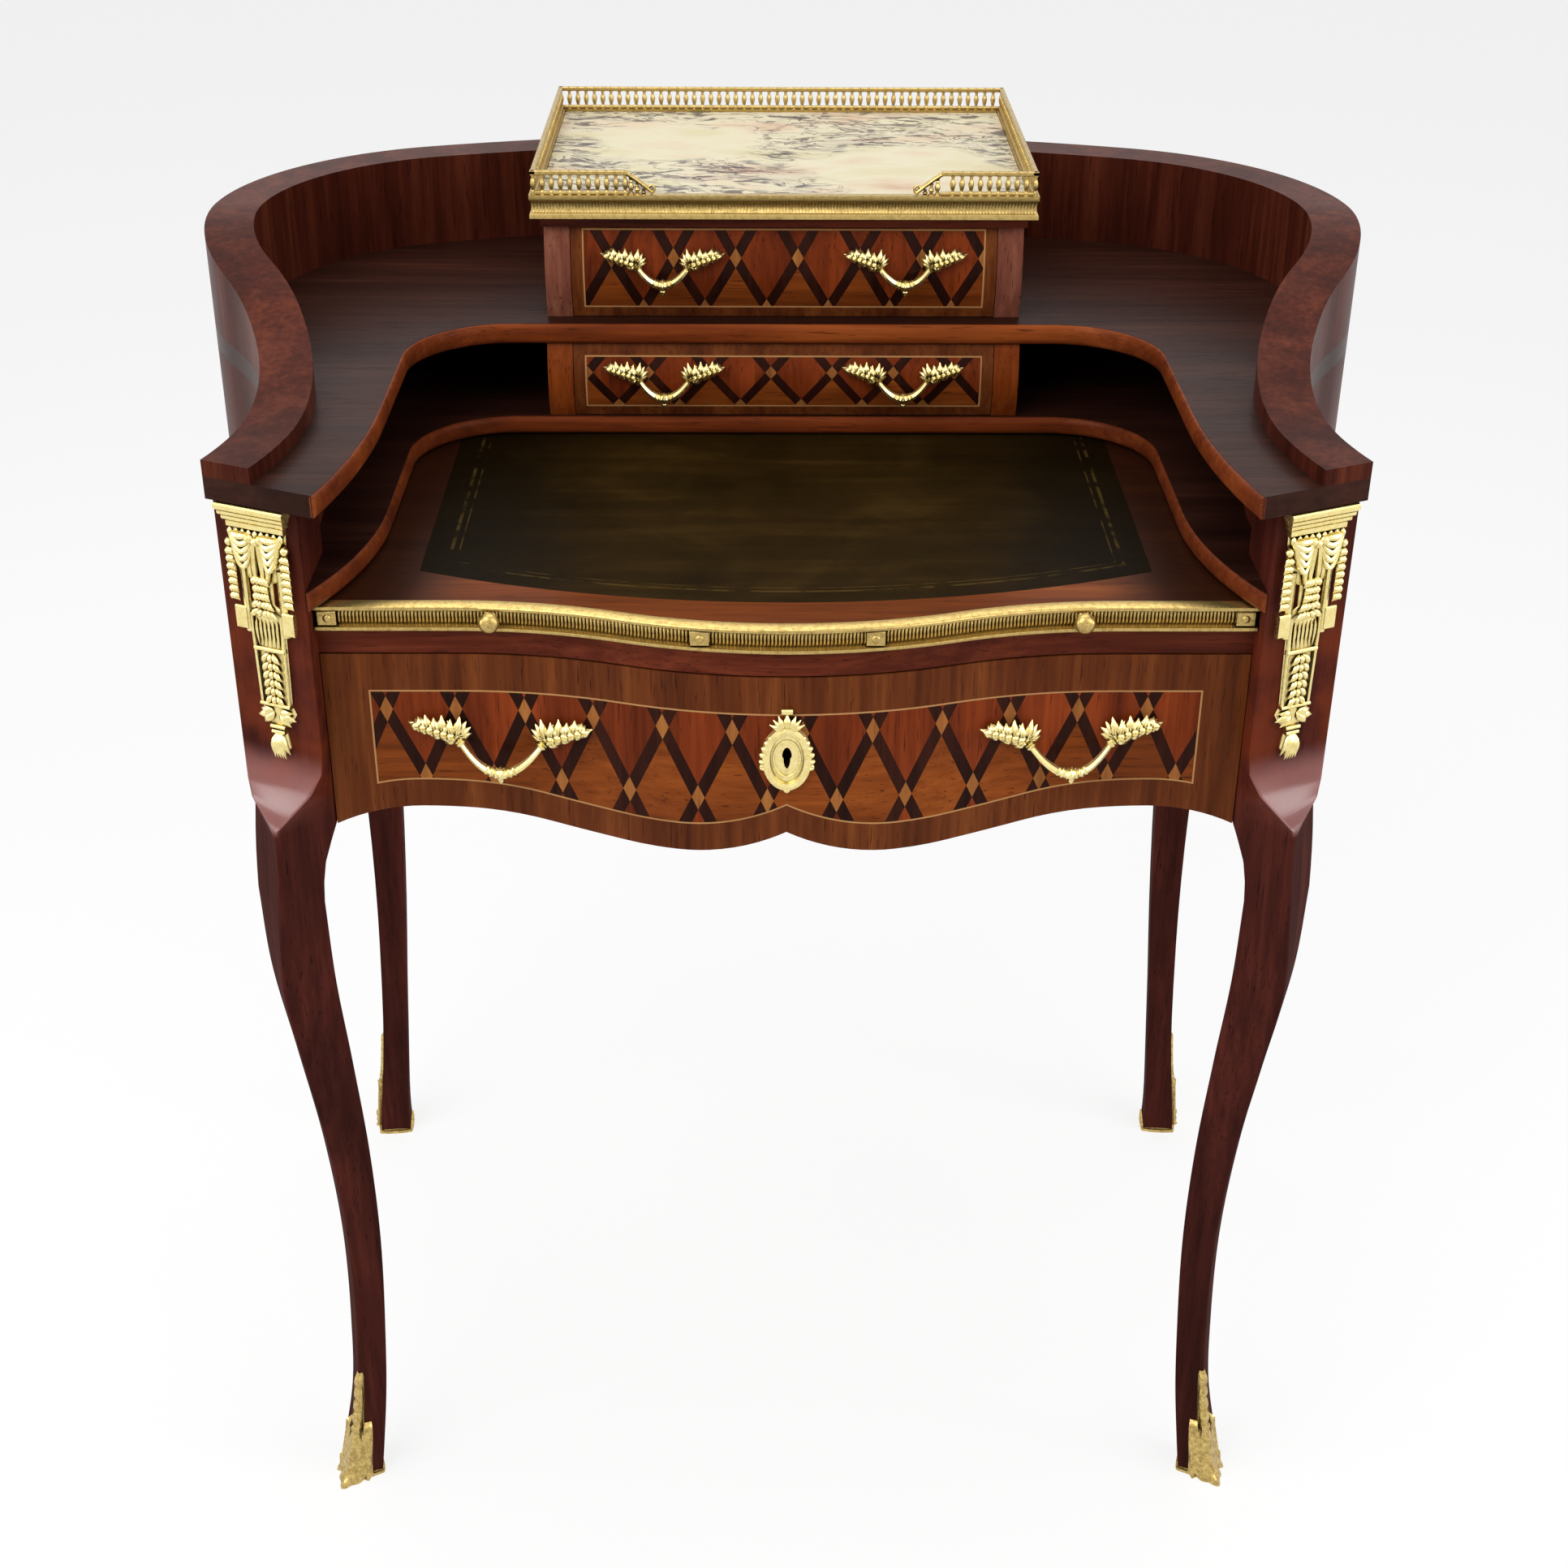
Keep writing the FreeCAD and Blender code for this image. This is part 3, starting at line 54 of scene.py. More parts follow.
OUT = np.array([0.0, -1.0, 0.0])
UP = np.array([0.0, 0.0, 1.0])
RIGHT = np.array([1.0, 0.0, 0.0])
SIDES = ((-1, "left"), (1, "right"))
HANDS = (-1, 1)
WHITE = (1.0, 1.0, 1.0, 1.0)
SHELLAC = "ffbca2"
TONGUE = "tongue"
WELD = 1e-6
SLIVER = 1e-7
SHARP_EDGE = math.radians(40.0)
PORE_DEPTH = 0.0002


def tone(code: str) -> Colour:
    """Turn a six-digit screen colour into linear light.

    Args:
        code: Hexadecimal colour such as "a0522d".

    Returns:
        Linear red, green, blue and an alpha of 1.
    """
    parts = [int(code[i:i + 2], 16) / 255 for i in (0, 2, 4)]
    linear = [c / 12.92 if c <= 0.04045 else ((c + 0.055) / 1.055) ** 2.4 for c in parts]
    return linear[0], linear[1], linear[2], 1.0


def operator(operation: str, turned: bool = False) -> Callable[..., "Signal"]:
    """Make a Python operator that adds a Math node.

    Args:
        operation: The node's operation.
        turned: The socket is the second term.

    Returns:
        A method of Signal.
    """
    def apply(self: "Signal", *other: Number) -> "Signal":
        """Join the socket and the other term."""
        return self.graph.math(operation, *((*other, self) if turned else (self, *other)))

    return apply


class Signal:
    """A shader socket that can be used in Python sums."""

    def __init__(self, graph: "Graph", socket: bpy.types.NodeSocket) -> None:
        """Keep the socket and the nodes it belongs to."""
        self.graph = graph
        self.socket = socket

    __add__ = __radd__ = operator("ADD")
    __sub__ = operator("SUBTRACT")
    __rsub__ = operator("SUBTRACT", turned=True)
    __mul__ = __rmul__ = operator("MULTIPLY")
    __truediv__ = operator("DIVIDE")
    __abs__ = operator("ABSOLUTE")
    __gt__ = operator("GREATER_THAN")
    __lt__ = operator("LESS_THAN")


class Graph:
    """The nodes of a material or of the world."""

    def __init__(self, tree: bpy.types.NodeTree) -> None:
        """Start with no nodes."""
        self.tree = tree
        tree.nodes.clear()

    def node(self, kind: str, settings: dict[str, object] | None = None,
             sockets: dict[Union[str, int], object] | None = None) -> bpy.types.Node:
        """Add any node.

        Args:
            kind: The node's type.
            settings: Properties set first; "stops" is a ramp's list of place and colour.
            sockets: Values or links of the inputs, by name or number.

        Returns:
            The new node.
        """
        made = self.tree.nodes.new(kind)
        for key, value in (settings or {}).items():
            if key == "stops":
                elements = made.color_ramp.elements
                while len(elements) < len(value):
                    elements.new(0.5)
                for element, (place, code) in zip(elements, value):
                    element.position = place
                    element.color = tone(code)
            else:
                setattr(made, key, value)
        for key, value in (sockets or {}).items():
            self.feed(made.inputs[key], value)
        return made

    def feed(self, target: bpy.types.NodeSocket, value: object) -> None:
        """Link a signal to an input, or set a constant on it.

        Args:
            target: The input.
            value: A signal, a number, a colour or a colour's six digits.
        """
        if isinstance(value, Signal):
            self.tree.links.new(value.socket, target)
        else:
            target.default_value = tone(value) if isinstance(value, str) else value

    def out(self, made: bpy.types.Node, which: Union[str, int] = 0) -> Signal:
        """Wrap one output of a node."""
        return Signal(self, made.outputs[which])

    def math(self, operation: str, *terms: Number) -> Signal:
        """Add a Math node on one to three terms."""
        return self.out(self.node("ShaderNodeMath", {"operation": operation}, dict(enumerate(terms))))

    def least(self, *terms: Number) -> Signal:
        """Give the least of some terms."""
        return functools.reduce(functools.partial(self.math, "MINIMUM"), terms)

    def most(self, *terms: Number) -> Signal:
        """Give the greatest of some terms."""
        return functools.reduce(functools.partial(self.math, "MAXIMUM"), terms)

    def seen(self) -> Signal:
        """Give 1 on rays from the camera, also by way of gloss and glass."""
        path = self.node("ShaderNodeLightPath")
        return self.most(*(self.out(path, "Is %s Ray" % kind) for kind in ("Camera", "Glossy", "Transmission")))


class Shader(Graph):
    """One material and the nodes in it."""

    def __init__(self, name: str) -> None:
        """Start a material with only a shader and an output.

        Args:
            name: The material's name.
        """
        self.material = bpy.data.materials.new(name)
        self.material.use_nodes = True
        super().__init__(self.material.node_tree)
        self.surface = self.node("ShaderNodeBsdfPrincipled")
        self.output = self.node("ShaderNodeOutputMaterial", sockets={"Surface": self.out(self.surface)})

    def place(self) -> Signal:
        """Give the object's own coordinates."""
        return self.out(self.node("ShaderNodeTexCoord"), "Object")

    def axes(self) -> tuple[Signal, Signal, Signal]:
        """Give the object's own x, y and z."""
        parts = self.node("ShaderNodeSeparateXYZ", sockets={0: self.place()})
        return self.out(parts, 0), self.out(parts, 1), self.out(parts, 2)

    def vector(self, x: Number, y: Number, z: Number) -> Signal:
        """Join three values to a vector."""
        return self.out(self.node("ShaderNodeCombineXYZ", sockets={0: x, 1: y, 2: z}))

    def noise(self, place: Signal, scale: float, detail: float, warp: float = 0.0) -> Signal:
        """Give cloud noise from 0 to 1 at a place."""
        sockets = {"Vector": place, "Scale": scale, "Detail": detail, "Distortion": warp}
        return self.out(self.node("ShaderNodeTexNoise", sockets=sockets))

    def smooth(self, value: Number, low: float, high: float) -> Signal:
        """Rise softly from 0 at low to 1 at high."""
        sockets = {0: value, 1: low, 2: high, 3: 0.0, 4: 1.0}
        return self.out(self.node("ShaderNodeMapRange", {"interpolation_type": "SMOOTHSTEP"}, sockets))

    def mix(self, share: Number, first: object, second: object) -> Signal:
        """Mix two colours by a share."""
        return self.out(self.node("ShaderNodeMix", {"data_type": "RGBA"}, {0: share, 6: first, 7: second}), 2)

    def ramp(self, share: Signal, *stops: tuple[float, str]) -> Signal:
        """Read a colour off a ramp."""
        return self.out(self.node("ShaderNodeValToRGB", {"stops": stops}, {0: share}))

    def bump(self, height: Signal, depth: float, strength: float) -> Signal:
        """Turn a height into a normal."""
        sockets = {"Height": height, "Distance": depth, "Strength": strength}
        return self.out(self.node("ShaderNodeBump", sockets=sockets))

    def dress(self, **sockets: object) -> bpy.types.Material:
        """Fill the surface's sockets.

        Args:
            sockets: Values or links, by the sockets' names written with underscores.

        Returns:
            The material.
        """
        for key, value in sockets.items():
            self.feed(self.surface.inputs[key.replace("_", " ").title().replace("Ior", "IOR")], value)
        return self.material


class Grain(enum.Enum):
    """Which way the grain of a veneer runs."""

    UPRIGHT = (1.0, 1.0, 0.05)
    ACROSS = (0.05, 1.0, 1.0)
    DEEP = (1.0, 0.05, 1.0)


@dataclass(frozen=True)
class WoodTones:
    """The colours of one wood, from its pale parts to its pores."""

    pale: str
    middle: str
    dark: str
    pore: str

    def weave(self, shader: Shader, grain: Grain, seed: float) -> tuple[Signal, Signal]:
        """Work out a wood's colour and its relief.

        Noise drawn out along the grain gives broad figure and fine streaks, and a finer one gives pores.

        Args:
            shader: The material to add to.
            grain: Which way the grain runs.
            seed: Moves the pattern, so that two veneers differ.

        Returns:
            The colour, and a height that falls in the pores.
        """
        place = shader.vector(*(axis * share + seed for axis, share in zip(shader.axes(), grain.value)))
        figure = shader.noise(place, 34.0, 4.0, 0.6)
        streak = shader.noise(place, 230.0, 3.0, 0.2)
        pores = shader.smooth(shader.noise(place, 900.0, 2.0), 0.60, 0.72)
        stops = (0.30, self.dark), (0.50, self.middle), (0.72, self.pale)
        colour = shader.ramp(figure * 0.62 + streak * 0.38, *stops)
        return shader.mix(pores * 0.7, colour, self.pore), streak * 0.6 - pores


ROSEWOOD = WoodTones("76371f", "512013", "2e100a", "180705")
WALL_WOOD = WoodTones("66321f", "461d13", "280e09", "160605")
DARK_WOOD = WoodTones("57271f", "3e1a14", "250e0b", "160706")
SHELF_WOOD = WoodTones("40231a", "2c1610", "190b08", "100605")
NOSING_WOOD = WoodTones("964c20", "753415", "471d0d", "2c1208")
CROSSBAND = WoodTones("7a431e", "5a2c13", "37170a", "1e0b06")
RED_FIELD = WoodTones("8a3c19", "6b2b10", "431708", "270d05")
ORANGE_FIELD = WoodTones("904b1b", "743813", "4e230c", "311507")
INK_BAND = WoodTones("35180f", "240f0a", "150806", "0d0504")
PALE_INLAY = WoodTones("a9703a", "8d572b", "69401f", "4a2c15")
LINING = WoodTones("b98a55", "a37442", "825a30", "5c3e20")
SLIDE_WOOD = WoodTones("8c4a1c", "6f3512", "451e0a", "2a1106")
CHEEK_WOOD = WoodTones("8a4218", "6a2d0e", "421a08", "281006")
DUSKY_WOOD = WoodTones("94604a", "754233", "4a2520", "2c1412")


@dataclass(frozen=True)
class Polish:
    """A polished or bare wood finish on the object's own axes."""

    name: str
    tones: WoodTones
    grain: Grain
    roughness: float = 0.36
    coat: float = 0.03
    seed: float = 0.0
    sheen: float = 0.075
    satin: float = 0.12

    def build(self) -> bpy.types.Material:
        """Make the material: wood, a soft uneven polish and fine open pores.

        Returns:
            The material.
        """
        shader = Shader(self.name)
        colour, height = self.tones.weave(shader, self.grain, self.seed)
        cloud = shader.noise(shader.place(), 9.0, 3.0)
        colour = shader.mix(shader.smooth(cloud, 0.35, 0.75) * 0.35, colour, self.tones.dark)
        return shader.dress(base_color=self.shade(shader, colour), roughness=cloud * 0.16 + (self.roughness - 0.08),
                            coat_weight=self.gloss(shader), coat_roughness=self.satin,
                            specular_ior_level=self.sheen, specular_tint=SHELLAC,
                            normal=shader.bump(height, PORE_DEPTH, 0.35))

    def shade(self, shader: Shader, colour: Signal) -> Signal:
        """Leave the colour as it is; a finish that changes across a piece does more here."""
        return colour

    def gloss(self, shader: Shader) -> Number:
        """Give the weight of the polish, the same all over."""
        return self.coat


@dataclass(frozen=True)
class BandedShadedSlide(Polish):
    """A writing slide whose side borders are of darker wood than its front border, with painted shade from the
    shelf above over them.
    """

    def shade(self, shader: Shader, colour: Signal) -> Signal:
        """Darken the borders, where |x| or y is large: partly darker wood, partly painted shade."""
        x, y, _ = shader.axes()
        # Painted shade as well as darker wood: the side and back borders are mixed toward near black.
        return shader.mix(shader.smooth(abs(x) + y * 0.25, 0.120, 0.175) * 0.9, colour, "170a06")


@dataclass(frozen=True)
class ShadedNosing(Polish):
    """A lip with painted shade that darkens it from the middle of the desk to its ends."""

    def shade(self, shader: Shader, colour: Signal) -> Signal:
        """Paint shade on the lip toward the sides, where |x| is large."""
        x, _, _ = shader.axes()
        # Painted shade: the lip's ends are mixed toward a dark brown.
        return shader.mix(shader.smooth(abs(x), 0.16, 0.25) * 0.25, colour, "341614")


@dataclass(frozen=True)
class PolishedKnee(Polish):
    """A leg whose post is warmer than its curve, and whose knee has a gloss and a painted pale highlight on its
    tongue.
    """

    def shade(self, shader: Shader, colour: Signal) -> Signal:
        """Warm the wood above the knee, and paint a pale highlight on the tongue.

        Args:
            shader: The material to add to.
            colour: The wood's colour.

        Returns:
            The colour, warmer where z is over 0.6 m, with a painted highlight on the tongue.
        """
        _, _, z = shader.axes()
        streak = shader.noise(shader.place(), 24.0, 3.0)
        post = shader.smooth(z, 0.585, 0.640) * shader.smooth(z, 0.800, 0.700) * 0.75
        colour = shader.mix(post * shader.smooth(streak, 0.30, 0.62), colour, "6a2d18")
        # Painted highlight: the tongue's colour is paled toward pink where a reflection falls.
        return shader.mix(self.highlight_and_gloss(shader) * 0.6, colour, "8a4c46")

    def gloss(self, shader: Shader) -> Signal:
        """Give nearly a full gloss on the tongue."""
        return self.highlight_and_gloss(shader) * 0.95 + self.coat

    def highlight_and_gloss(self, shader: Shader) -> Signal:
        """Mark the tongue, by the leg's own attribute, between z = 0.60 and 0.64 m, for its painted highlight and
        its gloss.

        Args:
            shader: The material to add to.

        Returns:
            1 on the tongue and 0 elsewhere.
        """
        _, _, z = shader.axes()
        tongue = shader.out(shader.node("ShaderNodeAttribute", {"attribute_name": TONGUE}), "Fac")
        return shader.least(shader.smooth(z, 0.594, 0.601), shader.smooth(z, 0.650, 0.628)) * tongue


class LowerEdge(enum.Enum):
    """How the lower edge of an inlaid field runs."""

    STRAIGHT = "straight"
    SHAPED = "shaped"


@dataclass(frozen=True)
class Apron:
    """The shaped lower edge of the frieze drawer, in arcs tangent to one another."""

    low: float = 0.5855
    high: float = 0.6025
    low_x: float = 0.068
    middle_x: float = 0.148
    high_x: float = 0.228
    radii: tuple[float, float, float] = (0.1484, 0.3807, 0.1245)

    def height(self, shader: Shader, x: Signal) -> Signal:
        """Work out the edge's height: low + R - sqrt(R^2 - d^2) inside, high - R + sqrt(R^2 - d^2) outside.

        Args:
            shader: The material to add to.
            x: Distance from the middle of the drawer.

        Returns:
            The height.
        """
        inner, flank, outer = self.radii
        near, far = x - self.low_x, x - self.high_x
        first = (near > 0.0) * (flank - inner) + inner
        second = (far > 0.0) * (outer - flank) + flank
        rising = first + self.low - shader.math("SQRT", first * first - near * near)
        falling = shader.math("SQRT", shader.most(second * second - far * far, 0.0)) - second + self.high
        beyond = x > self.middle_x
        return rising * (1.0 - beyond) + falling * beyond


@dataclass(frozen=True)
class Marquetry:
    """A drawer front inlaid with a lattice inside a fine string, in cross-banding."""

    name: str
    half: float
    top: float
    low: float
    crossing: float
    row: float
    phase: float
    edge: LowerEdge = LowerEdge.STRAIGHT
    pitch: float = 0.0426
    band: float = 0.094
    string: float = 0.0011

    def build(self) -> bpy.types.Material:
        """Make the material.

        With a = x / pitch + z / (2 row) and b = x / pitch - z / (2 row), counted from a crossing, a band lies
        where a or b is near a whole number, a lozenge where both are, and the fields between take turns.

        Returns:
            The material.
        """
        shader = Shader(self.name)
        x, _, z = shader.axes()
        hem = Apron().height(shader, abs(x)) if self.edge is LowerEdge.SHAPED else 0.0
        inside = shader.least(self.half - abs(x), self.top - z, z - hem - self.low)
        string = shader.least(inside > -self.string, inside < 0.0)
        level = (z - self.crossing) / (2.0 * self.row)
        across = (x - self.phase) / self.pitch
        falling, rising = across + level, across - level
        near = [abs(line - shader.math("ROUND", line)) < self.band for line in (falling, rising)]
        steps = shader.math("FLOOR", falling) - shader.math("FLOOR", rising)
        lower = shader.least(steps < -0.5, steps > -1.5)
        red, height = RED_FIELD.weave(shader, Grain.UPRIGHT, 0.31)
        orange, _ = ORANGE_FIELD.weave(shader, Grain.ACROSS, 0.77)
        ink, _ = INK_BAND.weave(shader, Grain.UPRIGHT, 0.13)
        pale, _ = PALE_INLAY.weave(shader, Grain.UPRIGHT, 0.52)
        border, _ = CROSSBAND.weave(shader, Grain.UPRIGHT, 0.94)
        inlay = shader.mix(lower, red, orange)
        inlay = shader.mix(shader.most(*near), inlay, ink)
        inlay = shader.mix(shader.least(*near), inlay, pale)
        colour = shader.mix(inside > 0.0, border, inlay)
        colour = shader.mix(string * 0.62, colour, "c39560")
        cloud = shader.noise(shader.place(), 14.0, 3.0)
        colour = shader.mix(shader.smooth(cloud, 0.5, 0.8) * 0.3, colour, "34130c")
        return shader.dress(base_color=colour, roughness=cloud * 0.14 + 0.27,
                            coat_weight=Polish.coat, coat_roughness=0.1,
                            specular_ior_level=Polish.sheen, specular_tint=SHELLAC,
                            normal=shader.bump(height, PORE_DEPTH, 0.3))


@dataclass(frozen=True)
class Gilding:
    """Gilded bronze, bright on the high parts and tarnished in the hollows."""

    name: str
    bright: str = "f3e3a0"
    shade: str = "cdae5e"
    hollow: str = "5a4218"
    chasing: float = 0.00025
    roughness: float = 0.25
    worn: float = 0.0

    def build(self) -> bpy.types.Material:
        """Make the material: two golds by fine noise and by hollows, over a chased and pitted relief.

        Returns:
            The material.
        """
        shader = Shader(self.name)
        place = shader.place()
        cloud = shader.noise(place, 320.0, 4.0, 0.4)
        pits = shader.noise(place, 1500.0, 3.0)
        hollow = shader.node("ShaderNodeAmbientOcclusion", {"samples": 8, "only_local": True}, {"Distance": 0.004})
        share = shader.smooth(cloud * 0.5 + pits * 0.5, 0.30 + self.worn, 0.60 + self.worn)
        colour = shader.mix(share * 0.7 + 0.3, self.shade, self.bright)
        colour = shader.mix(shader.smooth(shader.out(hollow, "AO"), 0.86, 0.34) * 0.9, colour, self.hollow)
        return shader.dress(base_color=colour, metallic=1.0, roughness=self.roughness + (1.0 - share) * 0.16,
                            normal=shader.bump(pits * 0.4 + cloud, self.chasing, 0.45))


@dataclass(frozen=True)
class TooledLeather:
    """Dark olive leather, worn and streaked, with painted shade toward its sides and two dull tooled lines inside
    its edge.
    """

    half: float = 0.226
    back: float = 0.118
    corner: float = -0.2125
    bow: float = 0.046
    line: float = 0.016
    gap: float = 0.005
    broad_half: float = 0.0011
    fine_half: float = 0.0005

    def build(self) -> bpy.types.Material:
        """Make the material: the gilt lines follow the panel's own outline, whose front is an arc.

        Returns:
            The material.
        """
        shader = Shader("tooled_leather")
        x, y, z = shader.axes()
        place = shader.place()
        radius = (self.half ** 2 + self.bow ** 2) / (2 * self.bow)
        deep = y - (self.corner - self.bow + radius)
        front = radius - shader.math("SQRT", x * x + deep * deep)
        inset = shader.least(self.half - abs(x), self.back - y, front)
        broad = shader.least(abs(inset - self.line) < self.broad_half, inset > 0.0)
        line = shader.most(broad, abs(inset - (self.line + self.gap)) < self.fine_half)
        wear = shader.noise(place, 60.0, 4.0)
        mottle = shader.noise(place, 16.0, 5.0, 0.8)
        streak = shader.noise(shader.vector(x * 0.25, y * 2.4, z), 26.0, 4.0, 0.4)
        stops = (0.32, "160e03"), (0.52, "241806"), (0.72, "35260e")
        colour = shader.ramp(mottle * 0.55 + streak * 0.45, *stops)
        # Painted shade: the leather is darkened toward its sides, where the shelf would shade it.
        colour = shader.mix(shader.smooth(abs(x), 0.09, 0.20) * 0.85, colour, "0b0702")
        colour = shader.mix(line * shader.smooth(wear, 0.40, 0.58) * 0.3, colour, "6a5226")
        pebble = shader.out(shader.node("ShaderNodeTexVoronoi", sockets={"Vector": place, "Scale": 620.0}))
        return shader.dress(base_color=colour, roughness=wear * 0.2 + 0.36, specular_ior_level=0.03,
                            specular_tint="ffe7b4", normal=shader.bump(pebble, 0.0003, 0.4))


@dataclass(frozen=True)
class VeinedMarble:
    """Cream marble broken by grey-violet and black veins that leave clear patches."""

    patches: tuple[tuple[float, float, float, float], ...] = ((-0.080, 0.190, 0.062, 0.072),
                                                              (0.092, 0.098, 0.088, 0.072))
    wander: float = 0.09

    def build(self) -> bpy.types.Material:
        """Make the material: warped noise drawn out along x gives strokes, which keep clear of two oval patches.

        Returns:
            The material.
        """
        shader = Shader("veined_marble")
        x, y, z = shader.axes()
        warp = shader.noise(shader.place(), 22.0, 4.0) - 0.5
        drift = shader.noise(shader.vector(x + 3.1, y, z), 15.0, 3.0) - 0.5
        clear = []
        for middle_x, middle_y, wide, deep in self.patches:
            across = (x - middle_x + warp * self.wander) / wide
            along = (y - middle_y + drift * self.wander) / deep
            clear.append(shader.math("SQRT", across * across + along * along))
        busy = shader.smooth(shader.least(*clear), 0.78, 1.12)
        place = shader.vector(x * 0.36 + drift * 0.06, y + warp * 0.045 + x * 0.16, z)
        strokes = shader.smooth(abs(shader.noise(place, 120.0, 5.0, 0.6) - 0.5), 0.056, 0.006)
        strokes = strokes * shader.smooth(shader.noise(place, 52.0, 4.0, 0.5), 0.36, 0.50)
        blots = shader.smooth(shader.noise(place, 70.0, 5.0, 0.8), 0.50, 0.62)
        place = shader.vector(x * 0.4, y + drift * 0.04, z + 0.3)
        dark = shader.smooth(shader.noise(place, 95.0, 4.0, 0.5), 0.56, 0.64)
        blush = shader.noise(shader.vector(x * 0.5, y + 5.0, z), 24.0, 4.0)
        cream = shader.ramp(blush, (0.32, "cdc29c"), (0.5, "d4ccb0"), (0.62, "d2c1a4"), (0.74, "c2a086"))
        colour = shader.mix(blots * busy * 0.30, cream, "a5928e")
        colour = shader.mix(strokes * busy * 0.85, colour, "3c3238")
        colour = shader.mix(dark * busy * 0.8, colour, "332a31")
        return shader.dress(base_color=colour, roughness=blots * 0.08 + 0.44, specular_ior_level=0.16)


def stand(name: str, data: bpy.types.ID) -> bpy.types.Object:
    """Make an object and put it in the scene.

    Args:
        name: The object's name.
        data: Its mesh, lamp or camera.

    Returns:
        The new object.
    """
    made = bpy.data.objects.new(name, data)
    bpy.context.scene.collection.objects.link(made)
    return made


class Patchwork:
    """Gathers grids of points and makes one mesh of them."""

    def __init__(self) -> None:
        """Start with nothing."""
        self.points: list[Points] = []
        self.faces: list[Points] = []
        self.count = 0

    def add(self, *grids: Points, rings: bool = False) -> "Patchwork":
        """Add grids of points as four-sided faces, with the last column joined to the first.

        Args:
            grids: Arrays of rows, columns and xyz.
            rings: Join the last row to the first as well.

        Returns:
            This patchwork.
        """
        for points in grids:
            rows, columns = points.shape[:2]
            index = np.arange(rows * columns).reshape(rows, columns) + self.count
            index = np.hstack([index, index[:, :1]])
            if rings:
                index = np.vstack([index, index[:1]])
            quads = np.stack([index[:-1, :-1], index[1:, :-1], index[1:, 1:], index[:-1, 1:]], axis=-1)
            self.faces.append(quads.reshape(-1, 4))
            self.points.append(points.reshape(-1, 3))
            self.count += rows * columns
        return self

    def build(self, name: str, material: bpy.types.Material, body: str, nodes: Sequence[str] = (),
              slot: str = "gilt_bronze", bend: Move | None = None,
              facts: dict[str, Move] | None = None) -> bpy.types.Object:
        """Make the object.

        Args:
            name: The piece's name.
            material: Its finish.
            body: The body it rides on.
            nodes: The solids it stands for.
            slot: Not used.
            bend: Carries all points to their place.
            facts: Values to store on each point, by name, worked out from the points.

        Returns:
            The new object.
        """
        points = np.concatenate(self.points)
        if bend is not None:
            points = bend(points)
        mesh = bpy.data.meshes.new(name)
        mesh.from_pydata(points.tolist(), [], np.concatenate(self.faces).tolist())
        kit = bmesh.new()
        kit.from_mesh(mesh)
        bmesh.ops.remove_doubles(kit, verts=kit.verts, dist=WELD)
        bmesh.ops.dissolve_degenerate(kit, edges=kit.edges, dist=SLIVER)
        bmesh.ops.recalc_face_normals(kit, faces=kit.faces)
        kit.to_mesh(mesh)
        kit.free()
        mesh.shade_smooth()
        mesh.set_sharp_from_angle(angle=SHARP_EDGE)
        place = np.empty(len(mesh.vertices) * 3)
        mesh.vertices.foreach_get("co", place)
        for key, formula in (facts or {}).items():
            values = formula(place.reshape(-1, 3)).astype(np.float32)
            mesh.attributes.new(key, "FLOAT", "POINT").data.foreach_set("value", values)
        mesh.materials.append(material)
        piece = stand(name, mesh)
        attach(piece, body)
        if nodes:
            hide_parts(*nodes)
        LOG.info("%s: %d faces", name, len(mesh.polygons))
        return piece


def xyz(x: Points, y: Points, z: Points) -> Points:
    """Join coordinates, each an array or one number, to points."""
    return np.stack(np.broadcast_arrays(x, y, z), axis=-1)


def mirrored(hand: int) -> Move:
    """Give the move that carries points of the right side to the side of a hand."""
    return lambda points: points * np.array([hand, 1, 1])


def aimed(angle: float, hand: int) -> Points:
    """Give the direction (cos a, 0, sin a) in the drawer's face, to the right or to the left."""
    aim = math.radians(angle)
    return np.array([hand * math.cos(aim), 0, math.sin(aim)])


def ease(share: Points) -> Points:
    """Rise smoothly from 0 to 1: 3 s^2 - 2 s^3."""
    share = np.clip(share, 0, 1)
    return share * share * (3 - 2 * share)


def through(stops: Points, values: Points, places: Points) -> Points:
    """Draw a smooth line through stops: the cubic with each stop's value and the slope of its neighbours.

    Args:
        stops: Rising places of the stops.
        values: Values there.
        places: Where to read the line.

    Returns:
        The values at the places.
    """
    slopes = np.gradient(values, stops)
    first = np.clip(np.searchsorted(stops, places) - 1, 0, len(stops) - 2)
    step = stops[first + 1] - stops[first]
    share = np.clip((places - stops[first]) / step, 0, 1)
    rest = 1 - share
    return ((1 + 2 * share) * rest ** 2 * values[first] + share * rest ** 2 * step * slopes[first]
            + share ** 2 * (3 - 2 * share) * values[first + 1] - share ** 2 * rest * step * slopes[first + 1])


def capped(strip: Points, last: int = -1) -> Points:
    """Close a strip by drawing both its ends in to a middle.

    Args:
        strip: Grid of rows, columns and xyz.
        last: The row whose middle closes the far end.

    Returns:
        The grid with a row more at each end.
    """
    ends = [np.broadcast_to(strip[row].mean(axis=0), strip[:1].shape) for row in (0, last)]
    return np.concatenate([ends[0], strip, ends[1]])


